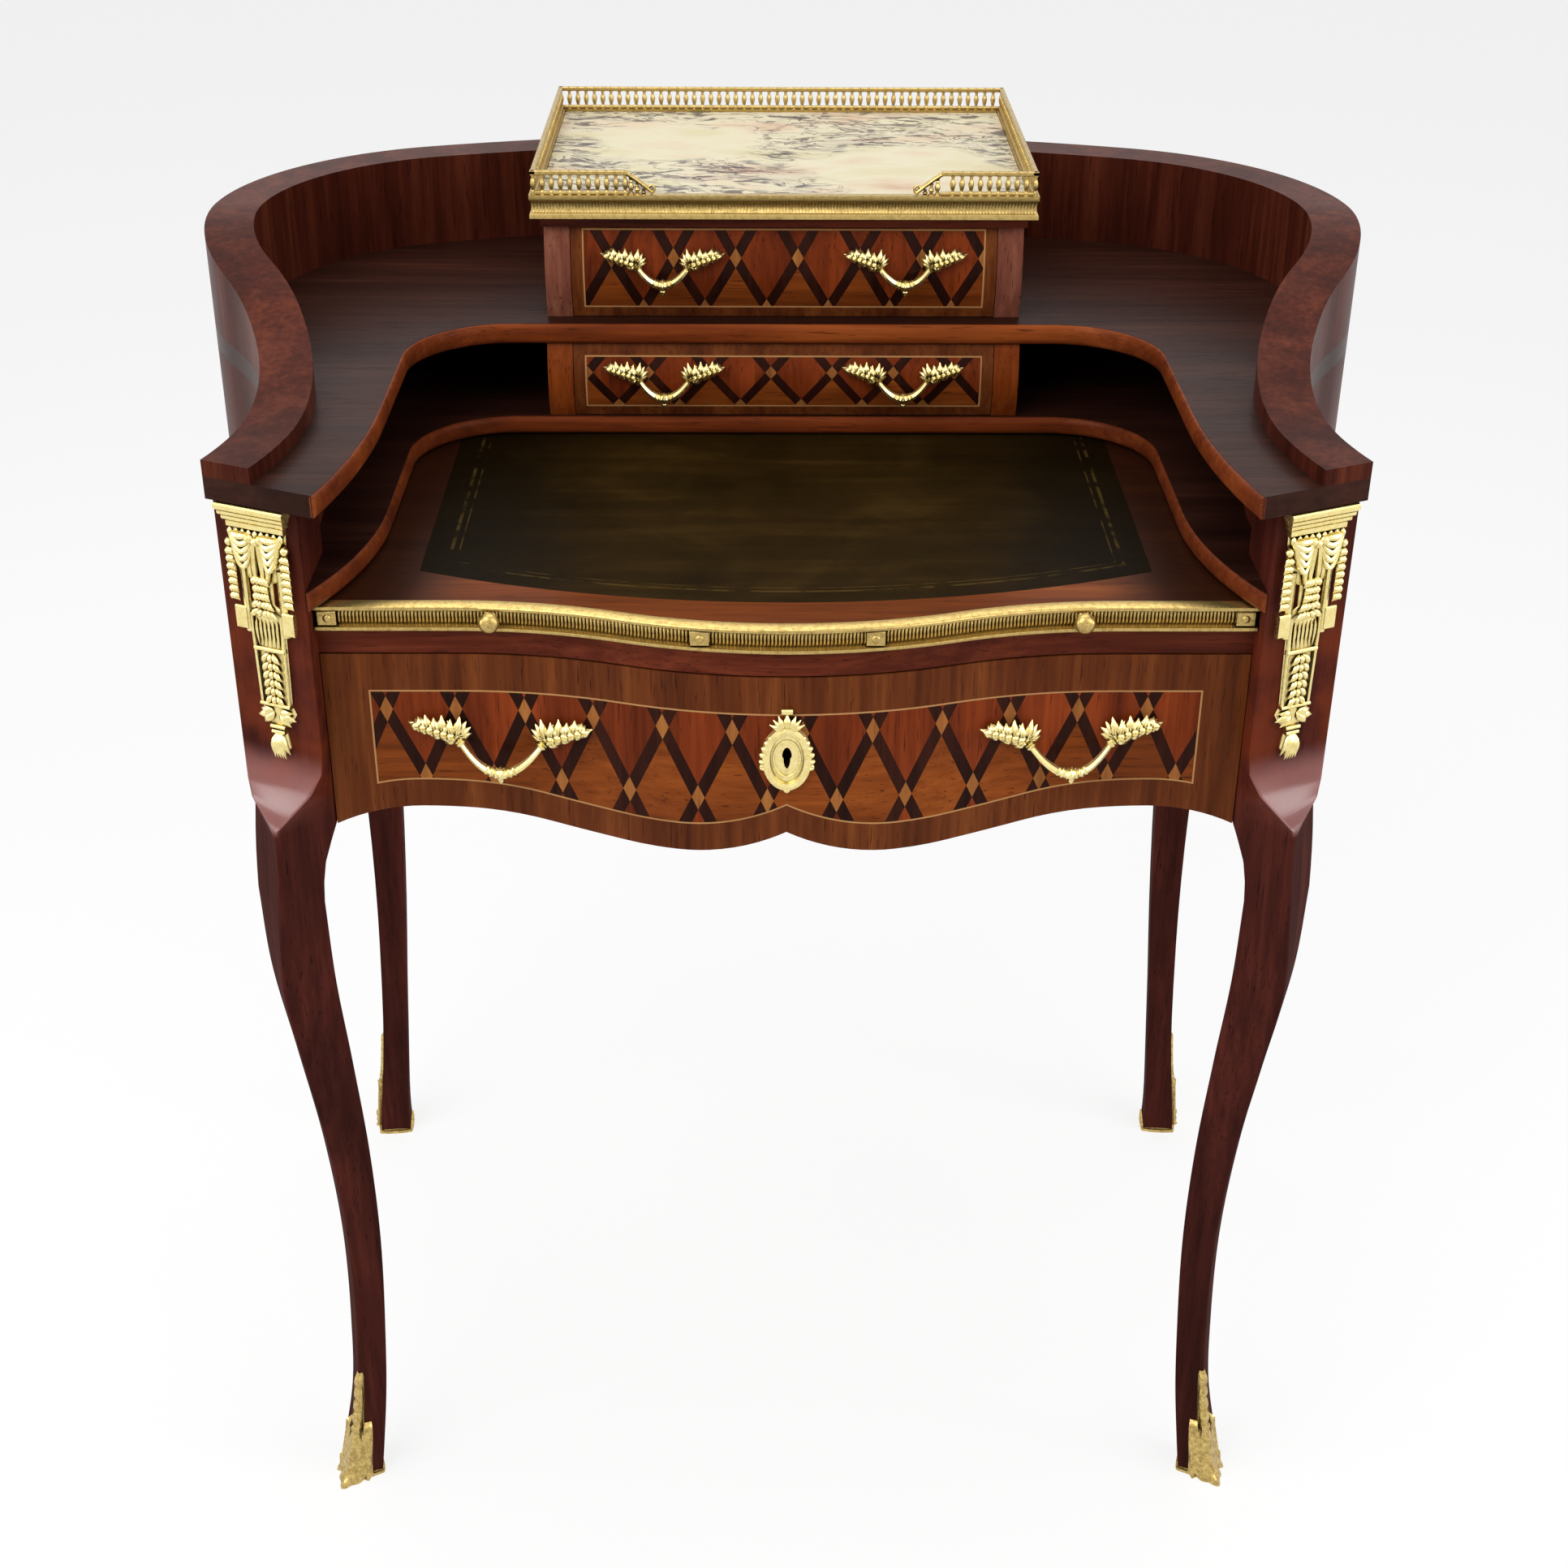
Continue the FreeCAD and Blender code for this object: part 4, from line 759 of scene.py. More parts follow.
def sleeve(path: Points, side: Points, lift: Points, wide: Points, high: Points, around: int) -> Points:
    """Carry an oval along a path: path + wide cos(t) side + high sin(t) lift.

    Args:
        path: Middles, one row each.
        side: Direction of the oval's width, one for all or one a row.
        lift: Direction of its height, likewise.
        wide: Half widths.
        high: Half heights.
        around: Points in each oval.

    Returns:
        Grid of rows, points around and xyz.
    """
    turn = np.linspace(0, 2 * np.pi, around, endpoint=False)
    side = np.broadcast_to(side, path.shape)
    lift = np.broadcast_to(lift, path.shape)
    cosines = (wide[:, None] * np.cos(turn))[..., None]
    sines = (high[:, None] * np.sin(turn))[..., None]
    return path[:, None] + cosines * side[:, None] + sines * lift[:, None]


def lathe(radii: Points, heights: Points, around: int) -> Points:
    """Turn a profile about the upright axis: (r cos t, r sin t, h)."""
    return sleeve(xyz(0.0, 0.0, heights), RIGHT, -OUT, radii, radii, around)


def spindle(radii: Points, lengths: Points, around: int) -> Points:
    """Turn a profile about an axis that runs out of the front: (r cos t, -h, r sin t)."""
    return lathe(radii, lengths, around)[..., [0, 2, 1]] * np.array([1, -1, 1])


def lobe(base: Sequence[float], tip: Sequence[float], wide: float, high: float, arch: float = 0.0,
         rows: int = 7, around: int = 8) -> Points:
    """Shape one swelling leaf: an oval carried from base to tip, of half width wide sin(pi s^0.75).

    Args:
        base: Where the leaf springs from.
        tip: Where it ends.
        wide: Greatest half width.
        high: Greatest half thickness.
        arch: How far its middle stands out.
        rows: Sections along it.
        around: Points in each section.

    Returns:
        Grid of rows, points around and xyz, closed at both ends.
    """
    share = np.linspace(0, 1, rows)
    start, run = np.asarray(base, float), np.asarray(tip, float) - np.asarray(base, float)
    path = start + np.outer(share, run) + np.outer(np.sin(np.pi * share) * arch, OUT)
    side = np.cross(run, OUT)
    swell = np.sin(np.pi * share ** 0.75)
    return sleeve(path, side / np.linalg.norm(side), OUT, wide * swell, high * swell, around)


def bead(middle: Sequence[float], radius: float) -> Points:
    """Shape a ball: (r sin p cos t, r sin p sin t, r cos p) about its middle."""
    turn = np.linspace(0, np.pi, 6)
    return lathe(radius * np.sin(turn), radius * np.cos(turn), 8) + np.asarray(middle, float)


def tube(path: Points, radius: Points, closed: bool = False) -> Points:
    """Carry a circle along any path, square to it, closed to points at both ends unless the path is a ring.

    Args:
        path: Middles, one row each.
        radius: One radius for all or one a row.
        closed: The path is a ring.

    Returns:
        Grid of rows, points around and xyz.
    """
    radius = np.broadcast_to(radius, len(path))
    if closed:
        ahead = np.roll(path, -1, axis=0) - np.roll(path, 1, axis=0)
    else:
        ahead = np.gradient(path, axis=0)
        path = np.vstack([path[:1], path, path[-1:]])
        ahead = np.vstack([ahead[:1], ahead, ahead[-1:]])
        radius = np.concatenate([[0.0], radius, [0.0]])
    ahead = ahead / np.linalg.norm(ahead, axis=1)[:, None]
    guide = np.where(np.abs(ahead @ OUT)[:, None] > 0.9, UP, OUT)
    side = np.cross(ahead, guide)
    side = side / np.linalg.norm(side, axis=1)[:, None]
    return sleeve(path, side, np.cross(side, ahead), radius, radius, 8)


def rounded(wide: float, high: float, edge: float, middle: Sequence[float] = (0.0, 0.0)) -> Points:
    """Give a rectangle with cut corners.

    Args:
        wide: Its width.
        high: Its height.
        edge: How much is cut off each corner, both ways.
        middle: Its middle.

    Returns:
        The eight corners.
    """
    half, tall = wide / 2, high / 2
    right = [(half - edge, -tall), (half, edge - tall), (half, tall - edge), (half - edge, tall)]
    return np.array(right + [(-x, -z) for x, z in right]) + np.array(middle)


def bar(loop: Points, start: Points, end: Points, across: Points = OUT) -> Points:
    """Draw a closed outline straight from one place to another, with flat ends.

    Args:
        loop: Outline, each row a distance along across and a height.
        start: Where it begins.
        end: Where it stops.
        across: Direction of the outline's first distance.

    Returns:
        Grid whose rows are stations and whose columns go round the outline.
    """
    ring = loop[:, :1] * across + loop[:, 1:] * UP
    return capped(np.stack([ring + start, ring + end]))


def ledge(wide: float, high: float, edge: float, middle: Sequence[float], half: float) -> Points:
    """Lay a bar with cut corners level across the middle of a face."""
    return bar(rounded(wide, high, edge, middle), RIGHT * -half, RIGHT * half)


@dataclass
class Serpentine:
    """The curved line of the desk's front in plan."""

    ends: float = -0.2555
    bulge: float = 0.032
    half: float = 0.2

    def depth(self, x: Points) -> Points:
        """Give y along the front: flat ends, a hollow arc, a round arc in the middle, both of one radius.

        Args:
            x: Places across the front.

        Returns:
            The depth of the front there.
        """
        radius = (self.half ** 2 + self.bulge ** 2) / (4 * self.bulge)
        out = np.abs(x)
        hollow = self.ends - radius + np.sqrt(radius ** 2 - np.clip(self.half - out, 0, self.half / 2) ** 2)
        swell = self.ends - self.bulge + radius - np.sqrt(radius ** 2 - np.clip(out, 0, self.half / 2) ** 2)
        return np.where(out >= self.half, self.ends, np.where(out >= self.half / 2, hollow, swell))


@dataclass
class LeafSpray:
    """A tapering spray of overlapping leaves on a rising spine, lying on a face that looks along -y."""

    length: float
    width: float
    rise: float
    pairs: int = 6
    proud: float = 0.0014
    lift: float = 0.0016

    def add(self, work: Patchwork, root: Sequence[float], hand: int) -> None:
        """Add the spray: long leaves above the spine, short ones below, a calyx at its root and a pointed tip.

        Args:
            work: Patchwork to add to.
            root: Where the spine begins.
            hand: 1 to run to the right, -1 to the left.
        """
        root = np.asarray(root, float)
        spine = np.array([hand * self.length, 0.0, self.rise])
        slope = math.degrees(math.atan2(self.rise, self.length))
        for step in range(self.pairs):
            share = 0.86 * step / self.pairs
            foot = root + spine * share + OUT * self.proud * (1 - share)
            turn = 1.0 + 0.10 * (-1) ** step
            for angle, reach in ((84 - 38 * share, 1.12 - 0.66 * share), (48 - 16 * share, 0.94 - 0.46 * share),
                                 (-50 + 20 * share, 0.70 - 0.32 * share)):
                self.leaf(work, foot, aimed(angle + slope, hand) * reach * turn * self.width)
            self.leaf(work, foot + OUT * self.proud, spine * 0.24)
        for angle, reach in ((106, 1.02), (130, 0.95), (154, 0.82), (-86, 0.5)):
            self.leaf(work, root, aimed(angle + slope, hand) * reach * self.width)
        work.add(bead(root + OUT * self.lift, self.width * 0.24),
                 lobe(root + spine * 0.72, root + spine, self.width * 0.17, 0.0017, 0.0012))

    def leaf(self, work: Patchwork, foot: Points, run: Points) -> None:
        """Add one plump leaf and the raised rib along it.

        Args:
            work: Patchwork to add to.
            foot: Where the leaf springs from.
            run: Its length and direction.
        """
        rib = foot + OUT * self.lift
        work.add(lobe(foot, foot + run, self.width * 0.25, 0.0019, 0.0020),
                 lobe(rib, rib + run * 0.82, self.width * 0.07, 0.0012, 0.0018, rows=6, around=6))


@dataclass
class Pull:
    """A drawer pull: two leaf sprays and a bowed stem with a turned ring and a bud."""

    span: float
    drop: float
    leaf: float
    tilt: float = 40.0
    stem: float = 0.0030
    proud: float = 0.003
    collar: tuple[float, ...] = (0.7, 1.0, 1.2, 0.95, 1.2, 1.0, 0.7)

    def gather(self) -> Patchwork:
        """Build the pull about its own middle.

        The stem is the parabola fall = depth (1 - s^2) for s from -1 to 1, leant out by the tilt.

        Returns:
            Patchwork of the whole pull.
        """
        work = Patchwork()
        spray = LeafSpray(self.leaf * 1.40, self.leaf * 0.55, self.leaf * 0.46)
        for hand in HANDS:
            spray.add(work, (hand * self.reach, -0.0026, self.start), hand)
        place = np.linspace(-1, 1, 41)
        swell = self.stem * (0.60 + 0.40 * np.cos(place * np.pi / 2) ** 1.5)
        ring = np.linspace(-0.30, 0.30, 29)
        profile = 1.12 + 0.16 * np.cos(ring * 62.0) * (np.abs(ring) > 0.07) + 0.42 * np.exp(-(ring / 0.045) ** 2)
        work.add(tube(self.bow(place), swell), tube(self.bow(ring), profile * np.interp(ring, place, swell)))
        for hand in HANDS:
            collar = hand * 0.90 + np.linspace(-0.05, 0.05, len(self.collar))
            work.add(tube(self.bow(collar), self.stem * np.array(self.collar)))
        low = self.bow(np.zeros(1))[0]
        return work.add(lobe(low - UP * 0.002, low - UP * 0.0078, 0.0022, 0.0022))

    @property
    def reach(self) -> float:
        """Half the distance between the roots of the sprays."""
        return self.span - self.leaf * 0.48

    @property
    def start(self) -> float:
        """Height of the roots of the sprays, below the pull's middle."""
        return -self.leaf * 0.28

    def bow(self, place: Points) -> Points:
        """Give points on the stem.

        Args:
            place: Shares of the way, from -1 at the left to 1 at the right.

        Returns:
            The points.
        """
        lean = math.radians(self.tilt)
        depth = self.drop + self.start / math.cos(lean)
        fall = depth * (1 - place ** 2)
        return xyz(self.reach * place, -self.proud - fall * math.sin(lean), self.start - fall * math.cos(lean))


@dataclass
class Escutcheon:
    """A keyhole plate: an oval ring, a leafy crest and sides, and a true keyhole."""

    half: float = 0.0135
    high: float = 0.0205
    widest: float = 0.0166
    spot: tuple[float, float, float] = (0.0, -0.2875, 0.655)

    def gather(self) -> Patchwork:
        """Build the plate about its own middle.

        The flat is the grid between the keyhole and the oval (a cos t, b sin t), given two faces.

        Returns:
            Patchwork of the plate.
        """
        work = Patchwork()
        turn = np.linspace(0, 2 * np.pi, 48, endpoint=False)
        oval = xyz(self.half * np.cos(turn), 0.0, self.high * np.sin(turn))
        level = 0.0072 * np.sin(turn)
        slot = 0.0021 + 0.0010 * ease((level + 0.0006) / 0.002)
        hole = xyz(slot * np.cos(turn), 0.0, level)
        flat = ((hole, 0.0002), (hole, 0.0016), ((hole + oval) / 2, 0.0022), (oval, 0.0016), (oval, 0.0002))
        work.add(np.stack([ring + OUT * proud for ring, proud in flat]),
                 tube(oval * 0.94 + OUT * 0.0016, 0.0031, closed=True),
                 tube(oval * 0.60 + OUT * 0.0022, 0.0007, closed=True), rings=True)
        for hand in HANDS:
            for step in range(6):
                at = math.radians(52 - 13 * step)
                foot = np.array([hand * self.half * 1.08 * math.cos(at), -0.0018, self.high * 1.02 * math.sin(at)])
                tip = foot + np.array([hand * 0.0016, 0, -0.0062 + 0.0004 * step])
                tip[0] = np.clip(tip[0], -self.widest, self.widest)
                work.add(lobe(foot, tip, 0.0021, 0.0019, 0.0010))
            work.add(bead((hand * 0.0148, -0.0016, -0.0058), 0.0022))
            foot = np.array([hand * 0.0012, -0.0022, self.high - 0.0005])
            for angle, reach in ((18, 0.0100), (42, 0.0098), (66, 0.0100)):
                work.add(lobe(foot, foot + aimed(angle, hand) * reach, 0.0020, 0.0017, 0.0016))
        base, tip = (0, -0.0024, self.high - 0.001), (0, -0.0024, self.high + 0.0105)
        return work.add(lobe(base, tip, 0.0024, 0.0018, 0.0016),
                        ledge(0.0040, 0.0036, 0.0008, (0.0020, self.high + 0.0115), 0.0034),
                        bead((0, -0.0020, -self.high - 0.0010), 0.0026))


@dataclass
class CornerMount:
    """A tall gilt mount on a canted corner: cornice, swags, fluted pilaster, husks and bud."""

    face: tuple[float, float] = (0.3095, -0.2645)
    cant: float = 24.0
    top: float = 0.8103
    tall: float = 0.168
    outline: tuple[tuple[float, float], ...] = (
        (0.0, 0.0), (0.012, 0.0195), (0.018, 0.0185), (0.047, 0.0172), (0.050, 0.006), (0.064, 0.0058),
        (0.067, 0.0118), (0.082, 0.0118), (0.084, 0.0112), (0.131, 0.0100), (0.136, 0.0124), (0.142, 0.009),
        (0.147, 0.0040), (0.151, 0.0050), (0.160, 0.0066), (0.168, 0.0))

    def gather(self) -> Patchwork:
        """Build the mount on a flat face, hung down from a height of 0.

        Returns:
            Patchwork of the mount.
        """
        work = Patchwork()
        for part in (self.ground, self.cornice, self.swags, self.pilaster, self.foot):
            part(work)
        return work

    def ground(self, work: Patchwork) -> None:
        """Add the plate behind everything: an oval section whose half width follows the outline.

        Args:
            work: Patchwork to add to.
        """
        level = np.linspace(0, self.tall, 85)
        wide = np.interp(level, *np.transpose(self.outline))
        thick = np.interp(level, [0, 0.004, 0.147, 0.158, 0.168], [0, 0.0024, 0.0024, 0.004, 0])
        work.add(sleeve(xyz(0.0, 0.0, -level), RIGHT, OUT, wide, thick, 16))

    def cornice(self, work: Patchwork) -> None:
        """Add the stepped cornice and a row of small leaves beneath it.

        Args:
            work: Patchwork to add to.
        """
        for low, tall, half, proud in ((-0.0042, 0.0042, 0.0238, 0.0105), (-0.0076, 0.0034, 0.0226, 0.0088),
                                       (-0.0112, 0.0036, 0.0214, 0.007), (-0.0162, 0.005, 0.0198, 0.0052)):
            work.add(ledge(proud, tall, 0.0009, (proud / 2 - 0.0008, low + tall / 2), half))
        for place in np.linspace(-0.0175, 0.0175, 9):
            work.add(lobe((place, -0.0042, -0.0158), (place, -0.0036, -0.0225), 0.0019, 0.0012, 0.0006))

    def swags(self, work: Patchwork) -> None:
        """Add draped swags under a knot, tassels down both sides, side bars that end in blocks, and a leaf collar.

        Each fold hangs as z = top - sag sin(pi s^0.85) between the knot and an outer corner.

        Args:
            work: Patchwork to add to.
        """
        share, drop = np.linspace(0, 1, 22), np.linspace(0, 1, 10)
        swell = np.sin(np.pi * share)
        for hand in HANDS:
            for fold in range(5):
                z = -0.0192 - 0.0012 * fold * (1 - share) - 0.0042 * fold * np.sin(np.pi * share ** 0.85)
                path = xyz(hand * (0.0030 + 0.0145 * share), -0.0046 - 0.0018 * swell, z)
                work.add(tube(path, (0.0027 - 0.0002 * fold) * (0.55 + 0.45 * swell)))
            for lean, size in ((0.0052, 0.0020), (0.0018, 0.0022)):
                path = xyz(hand * (0.0010 + lean * np.sin(np.pi * drop * 0.7)), -0.0046 + 0.0006 * drop,
                           -0.0215 - 0.0262 * drop)
                work.add(tube(path, size * (0.6 + 0.4 * np.sin(np.pi * drop))))
            work.add(bead((hand * 0.0192, -0.0040, -0.0255), 0.0028))
            for step in range(7):
                z = -0.028 - 0.0048 * step
                for side in (-0.5, 0.0, 0.5):
                    tip = (hand * 0.0190 + side * 0.0058, -0.0040, z - 0.0066)
                    work.add(lobe((hand * 0.0188, -0.0034, z), tip, 0.0018, 0.0017, 0.0014))
            rod = np.linspace((hand * 0.0128, -0.0014, -0.040), (hand * 0.0128, -0.0014, -0.083), 8)
            block = rounded(0.0056, 0.0150, 0.0008, (0.0016, -0.0740))
            work.add(tube(rod, 0.0024), bar(block, RIGHT * hand * 0.0126, RIGHT * hand * 0.0205),
                     lobe((0, -0.0046, -0.0225), (hand * 0.0095, -0.0046, -0.0185), 0.0030, 0.0022, 0.0012))
        work.add(bead((0, -0.0048, -0.0225), 0.0032))
        for level, reach in ((-0.0470, 0.0062), (-0.0520, 0.0050), (-0.0570, 0.0056), (-0.0625, 0.0080),
                             (-0.0680, 0.0100)):
            for side in (-1, -0.35, 0.35, 1):
                base, tip = (side * 0.0016, -0.0036, level + 0.003), (side * reach, -0.0042, level - 0.0040)
                work.add(lobe(base, tip, 0.0022, 0.0020, 0.0014))

    def pilaster(self, work: Patchwork) -> None:
        """Add a fluted panel over a panel of husks, between raised sides.

        Args:
            work: Patchwork to add to.
        """
        for hand in HANDS:
            side = np.linspace((hand * 0.0106, -0.0024, -0.070), (hand * 0.0094, -0.0024, -0.130), 12)
            work.add(tube(side, 0.0012))
        for place in np.linspace(-0.0074, 0.0074, 6):
            work.add(lobe((place, -0.0024, -0.0735), (place * 0.96, -0.0024, -0.092), 0.0013, 0.0015))
        work.add(ledge(0.0044, 0.0028, 0.0008, (0.0018, -0.0935), 0.0108))
        for row in range(6):
            z = -0.0955 - 0.0056 * row
            for side in (-1, 0, 1):
                base, tip = (side * 0.0012, -0.0026, z), (side * 0.0068, -0.0030, z - 0.0072)
                work.add(lobe(base, tip, 0.0019, 0.0016, 0.0012))

    def foot(self, work: Patchwork) -> None:
        """Add pointed side leaves, a neck of rings and a ribbed bud.

        Args:
            work: Patchwork to add to.
        """
        for hand in HANDS:
            base = np.array([hand * 0.002, -0.0026, -0.1355])
            for angle, reach in ((-18, 0.0125), (-48, 0.0115), (8, 0.0095)):
                tip = base + OUT * 0.0004 + aimed(angle, hand) * reach
                work.add(lobe(base, tip, 0.0028, 0.0016, 0.0014))
        for level, half in ((-0.1305, 0.0106), (-0.1455, 0.0052), (-0.149, 0.0046)):
            work.add(ledge(0.0052, 0.0024, 0.0007, (0.0018, level), half))
        for low, spread, deep in ((-0.1645, 0.0066, -0.0026), (-0.1672, 0.0040, -0.0040)):
            for place in (-1.0, -0.5, 0.0, 0.5, 1.0):
                base, tip = (place * 0.0012, -0.0030, -0.1490), (place * spread, deep, low)
                work.add(lobe(base, tip, 0.0021, 0.0020, 0.0014))

    def carry(self, hand: int) -> Move:
        """Give the move from the flat face to one canted corner.

        Args:
            hand: 1 for the right corner, -1 for the left.

        Returns:
            A function of points.
        """
        lean = math.radians(self.cant)
        across = np.array([math.cos(lean), math.sin(lean), 0])
        out = np.array([math.sin(lean), -math.cos(lean), 0])
        middle = np.array([*self.face, self.top])
        turned = np.stack([across, -out, UP])
        return lambda points: mirrored(hand)(middle + points @ turned)


@dataclass
class FrontLeg:
    """A front leg: a square section with a leading arris that swells to the knee and runs into the canted post.

    The arris climbs to the middle of the canted face, where the face ends in a tongue.
    """

    post: tuple[tuple[float, float], ...] = ((0.2840, -0.27585), (0.33768, -0.25195), (0.33347, -0.2365),
                                             (0.32899, -0.2135), (0.2840, -0.2135), (0.2840, -0.2545))
    levels: tuple[float, ...] = (0.0, 0.030, 0.080, 0.140, 0.220, 0.310, 0.400, 0.480, 0.537)
    middles: tuple[tuple[float, float], ...] = ((0.3230, -0.2265), (0.3180, -0.2273), (0.3109, -0.2247),
                                                (0.3074, -0.2212), (0.3049, -0.2215), (0.3067, -0.2285),
                                                (0.3117, -0.2420), (0.3169, -0.2531), (0.3180, -0.2555))
    sides: tuple[float, ...] = (0.027, 0.0248, 0.0215, 0.0215, 0.0232, 0.027, 0.032, 0.036, 0.0365)
    blends: tuple[float, ...] = (0.537, 0.551, 0.565, 0.579, 0.590, 0.599, 0.608, 0.621, 0.635, 0.650)
    near: tuple[float, ...] = (1, 1, 1, 1, 1, 1, 0.72, 0.32, 0.06, 0)
    far: tuple[float, ...] = (1, 1, 1, 1, 1, 0.9, 0.1, 0, 0, 0)
    outer: tuple[float, ...] = (1, 0.93, 0.84, 0.72, 0.60, 0.5, 0.4, 0.25, 0.10, 0)
    inner: tuple[float, ...] = (1, 0.93, 0.75, 0.35, 0, 0, 0, 0, 0, 0)
    top: float = 0.811
    cant: float = 24.0
    arris: float = 0.0008
    climb: float = 0.0125
    climb_from: float = 0.44
    climb_over: float = 0.16
    edge: float = 0.0011
    soft: float = 0.0012

    def corners(self, level: Points) -> Points:
        """Work out the six corners of every section: p + share (q - p) from the post p to the square q.

        Args:
            level: Heights of the sections.

        Returns:
            Array of sections, corners and x, y.
        """
        lean = math.radians(self.cant)
        out = np.array([math.sin(lean), -math.cos(lean)])
        across = np.array([math.cos(lean), math.sin(lean)])
        below = np.minimum(level, self.levels[-1])
        stops = np.array(self.levels)
        centre = np.stack([through(stops, line, below) for line in np.transpose(self.middles)], axis=-1)
        half = through(stops, np.array(self.sides), below) / math.sqrt(2)
        none = np.zeros_like(half)
        reach = np.stack([half - self.arris, half - self.arris, none, -half, -half / 2, none], axis=1)
        spread = np.stack([none - self.arris, none + self.arris, half, none, -half / 2, -half], axis=1)
        climbed = self.climb * ease((level - self.climb_from) / self.climb_over)
        inward = climbed[:, None] * np.array([1, 1, 0, 0, 0, 0])
        square = centre[:, None] + reach[..., None] * out + (spread - inward)[..., None] * across
        shares = np.stack([np.interp(level, self.blends, share) for share in
                           (self.near, self.far, self.outer, self.outer, self.inner, self.inner)], axis=1)
        post = np.array(self.post)[None]
        return post + shares[..., None] * (square - post)

    def tongue(self, points: Points) -> Points:
        """Mark the canted face: exp(-(d / soft)^2), d being the distance in plan from the line of its corners.

        Args:
            points: Points on either leg.

        Returns:
            1 on the face, falling to 0 beside it.
        """
        corner = self.corners(points[:, 2])
        run = corner[:, 1] - corner[:, 0]
        run = run / np.linalg.norm(run, axis=1)[:, None]
        gap = np.column_stack([np.abs(points[:, 0]), points[:, 1]]) - corner[:, 0]
        off = run[:, 0] * gap[:, 1] - run[:, 1] * gap[:, 0]
        return np.exp(-(off / self.soft) ** 2)

    def gather(self) -> Patchwork:
        """Build the right leg: each corner is eased by points a little to both sides of it.

        Returns:
            Patchwork of the leg.
        """
        knee, shoulder = self.blends[0], self.blends[-1]
        level = np.unique(np.concatenate([np.linspace(0, knee, 84), np.linspace(knee, shoulder, 48), [self.top]]))
        corner = self.corners(level)
        before = np.roll(corner, 1, axis=1) - corner
        after = np.roll(corner, -1, axis=1) - corner
        parts = []
        for way, far in ((before, 1.8), (before, 1.0), (after, 1.0), (after, 1.8)):
            long = np.linalg.norm(way, axis=2, keepdims=True)
            parts.append(corner + way / long * np.minimum(self.edge * far, long * 0.25 * far / 1.8))
        parts.insert(2, corner * 0.5 + (parts[1] + parts[2]) * 0.25)
        ring = np.stack(parts, axis=2).reshape(len(level), -1, 2)
        return Patchwork().add(capped(xyz(ring[..., 0], ring[..., 1], level[:, None])))


@dataclass
class Sabot:
    """A gilt shoe round a foot: a bordered panel with a toe, and a strap of husks up the arris."""

    heights: tuple[float, ...]
    middles: tuple[tuple[float, float], ...]
    sides: tuple[float, ...]
    toward: float
    tall: float = 0.104
    waist: float = 0.056
    low: float = 0.003
    squareness: float = 1.12
    cap_row: int = 36
    wall: float = 0.0015
    strap_half: float = 0.18
    panel_half: float = 0.78
    husk_pitch: float = 0.0115

    def gather(self) -> Patchwork:
        """Build the shoe.

        At angle t from the arris the rim steps from tall to waist past |t| = strap_half, and to low past
        |t| = panel_half. The shell is the foot's section grown by a wall, a raised border, a strap of husks,
        ribs, a tuft of leaves and a toe.

        Returns:
            Patchwork of the shoe.
        """
        turn = np.linspace(-np.pi, np.pi, 145)[:-1]
        side = np.abs(turn)
        panel = 1 - ease((side - self.panel_half) / 0.32)
        strap = 1 - ease((side - self.strap_half) / 0.22)
        rim = self.low + (self.waist - self.low) * panel + (self.tall - self.waist) * strap
        share = np.linspace(0, 1, 61)[:, None]
        level = share * rim
        border = np.exp(-((level - self.waist + 0.004) / 0.0024) ** 2)
        border = border + np.exp(-((side - 0.84) / 0.09) ** 2) * (level < self.waist)
        husk = np.abs(np.sin(np.pi * (level - self.waist) / self.husk_pitch)) ** 0.7
        husk = husk * strap * (level > self.waist)
        rib = np.abs(np.sin(turn * 8)) * panel * (np.abs(level - 0.034) < 0.013)
        tuft = np.abs(np.cos(turn * 7 + level * 190)) * np.clip(1 - level / 0.022, 0, 1) * panel
        toe = np.exp(-(turn / 0.38) ** 2 - (level / 0.009) ** 2)
        grow = self.wall + 0.0015 * border * panel + 0.0018 * husk + 0.0007 * rib
        grow = grow + 0.0022 * tuft + 0.0055 * toe
        shell = self.section(level, turn, grow * (1 - ease((share - 0.95) / 0.05)))
        return Patchwork().add(capped(shell, self.cap_row))

    def section(self, level: Points, turn: Points, grow: Points) -> Points:
        """Give points of the foot's own section, |x|^p + |y|^p = half^p, grown outward.

        Args:
            level: Heights.
            turn: Angles from the arris.
            grow: Distances outward.

        Returns:
            Points of the same shape.
        """
        heading, power = turn + math.radians(self.toward), self.squareness
        stops = np.array(self.heights)
        x, y = (through(stops, line, level) for line in np.transpose(self.middles))
        half = through(stops, np.array(self.sides), level) / math.sqrt(2)
        reach = half / (np.abs(np.cos(turn)) ** power + np.abs(np.sin(turn)) ** power) ** (1 / power) + grow
        return xyz(x + reach * np.cos(heading), y + reach * np.sin(heading), level)


SHOES = {
    "front": Sabot(FrontLeg.levels[:4], FrontLeg.middles[:4], FrontLeg.sides[:4], -66.0),
    "rear": Sabot(FrontLeg.levels[:4], ((0.3551, 0.1969), (0.3536, 0.1956), (0.3489, 0.1917), (0.3444, 0.1878)),
                  (0.027, 0.0248, 0.0224, 0.0215), 40.0),
}


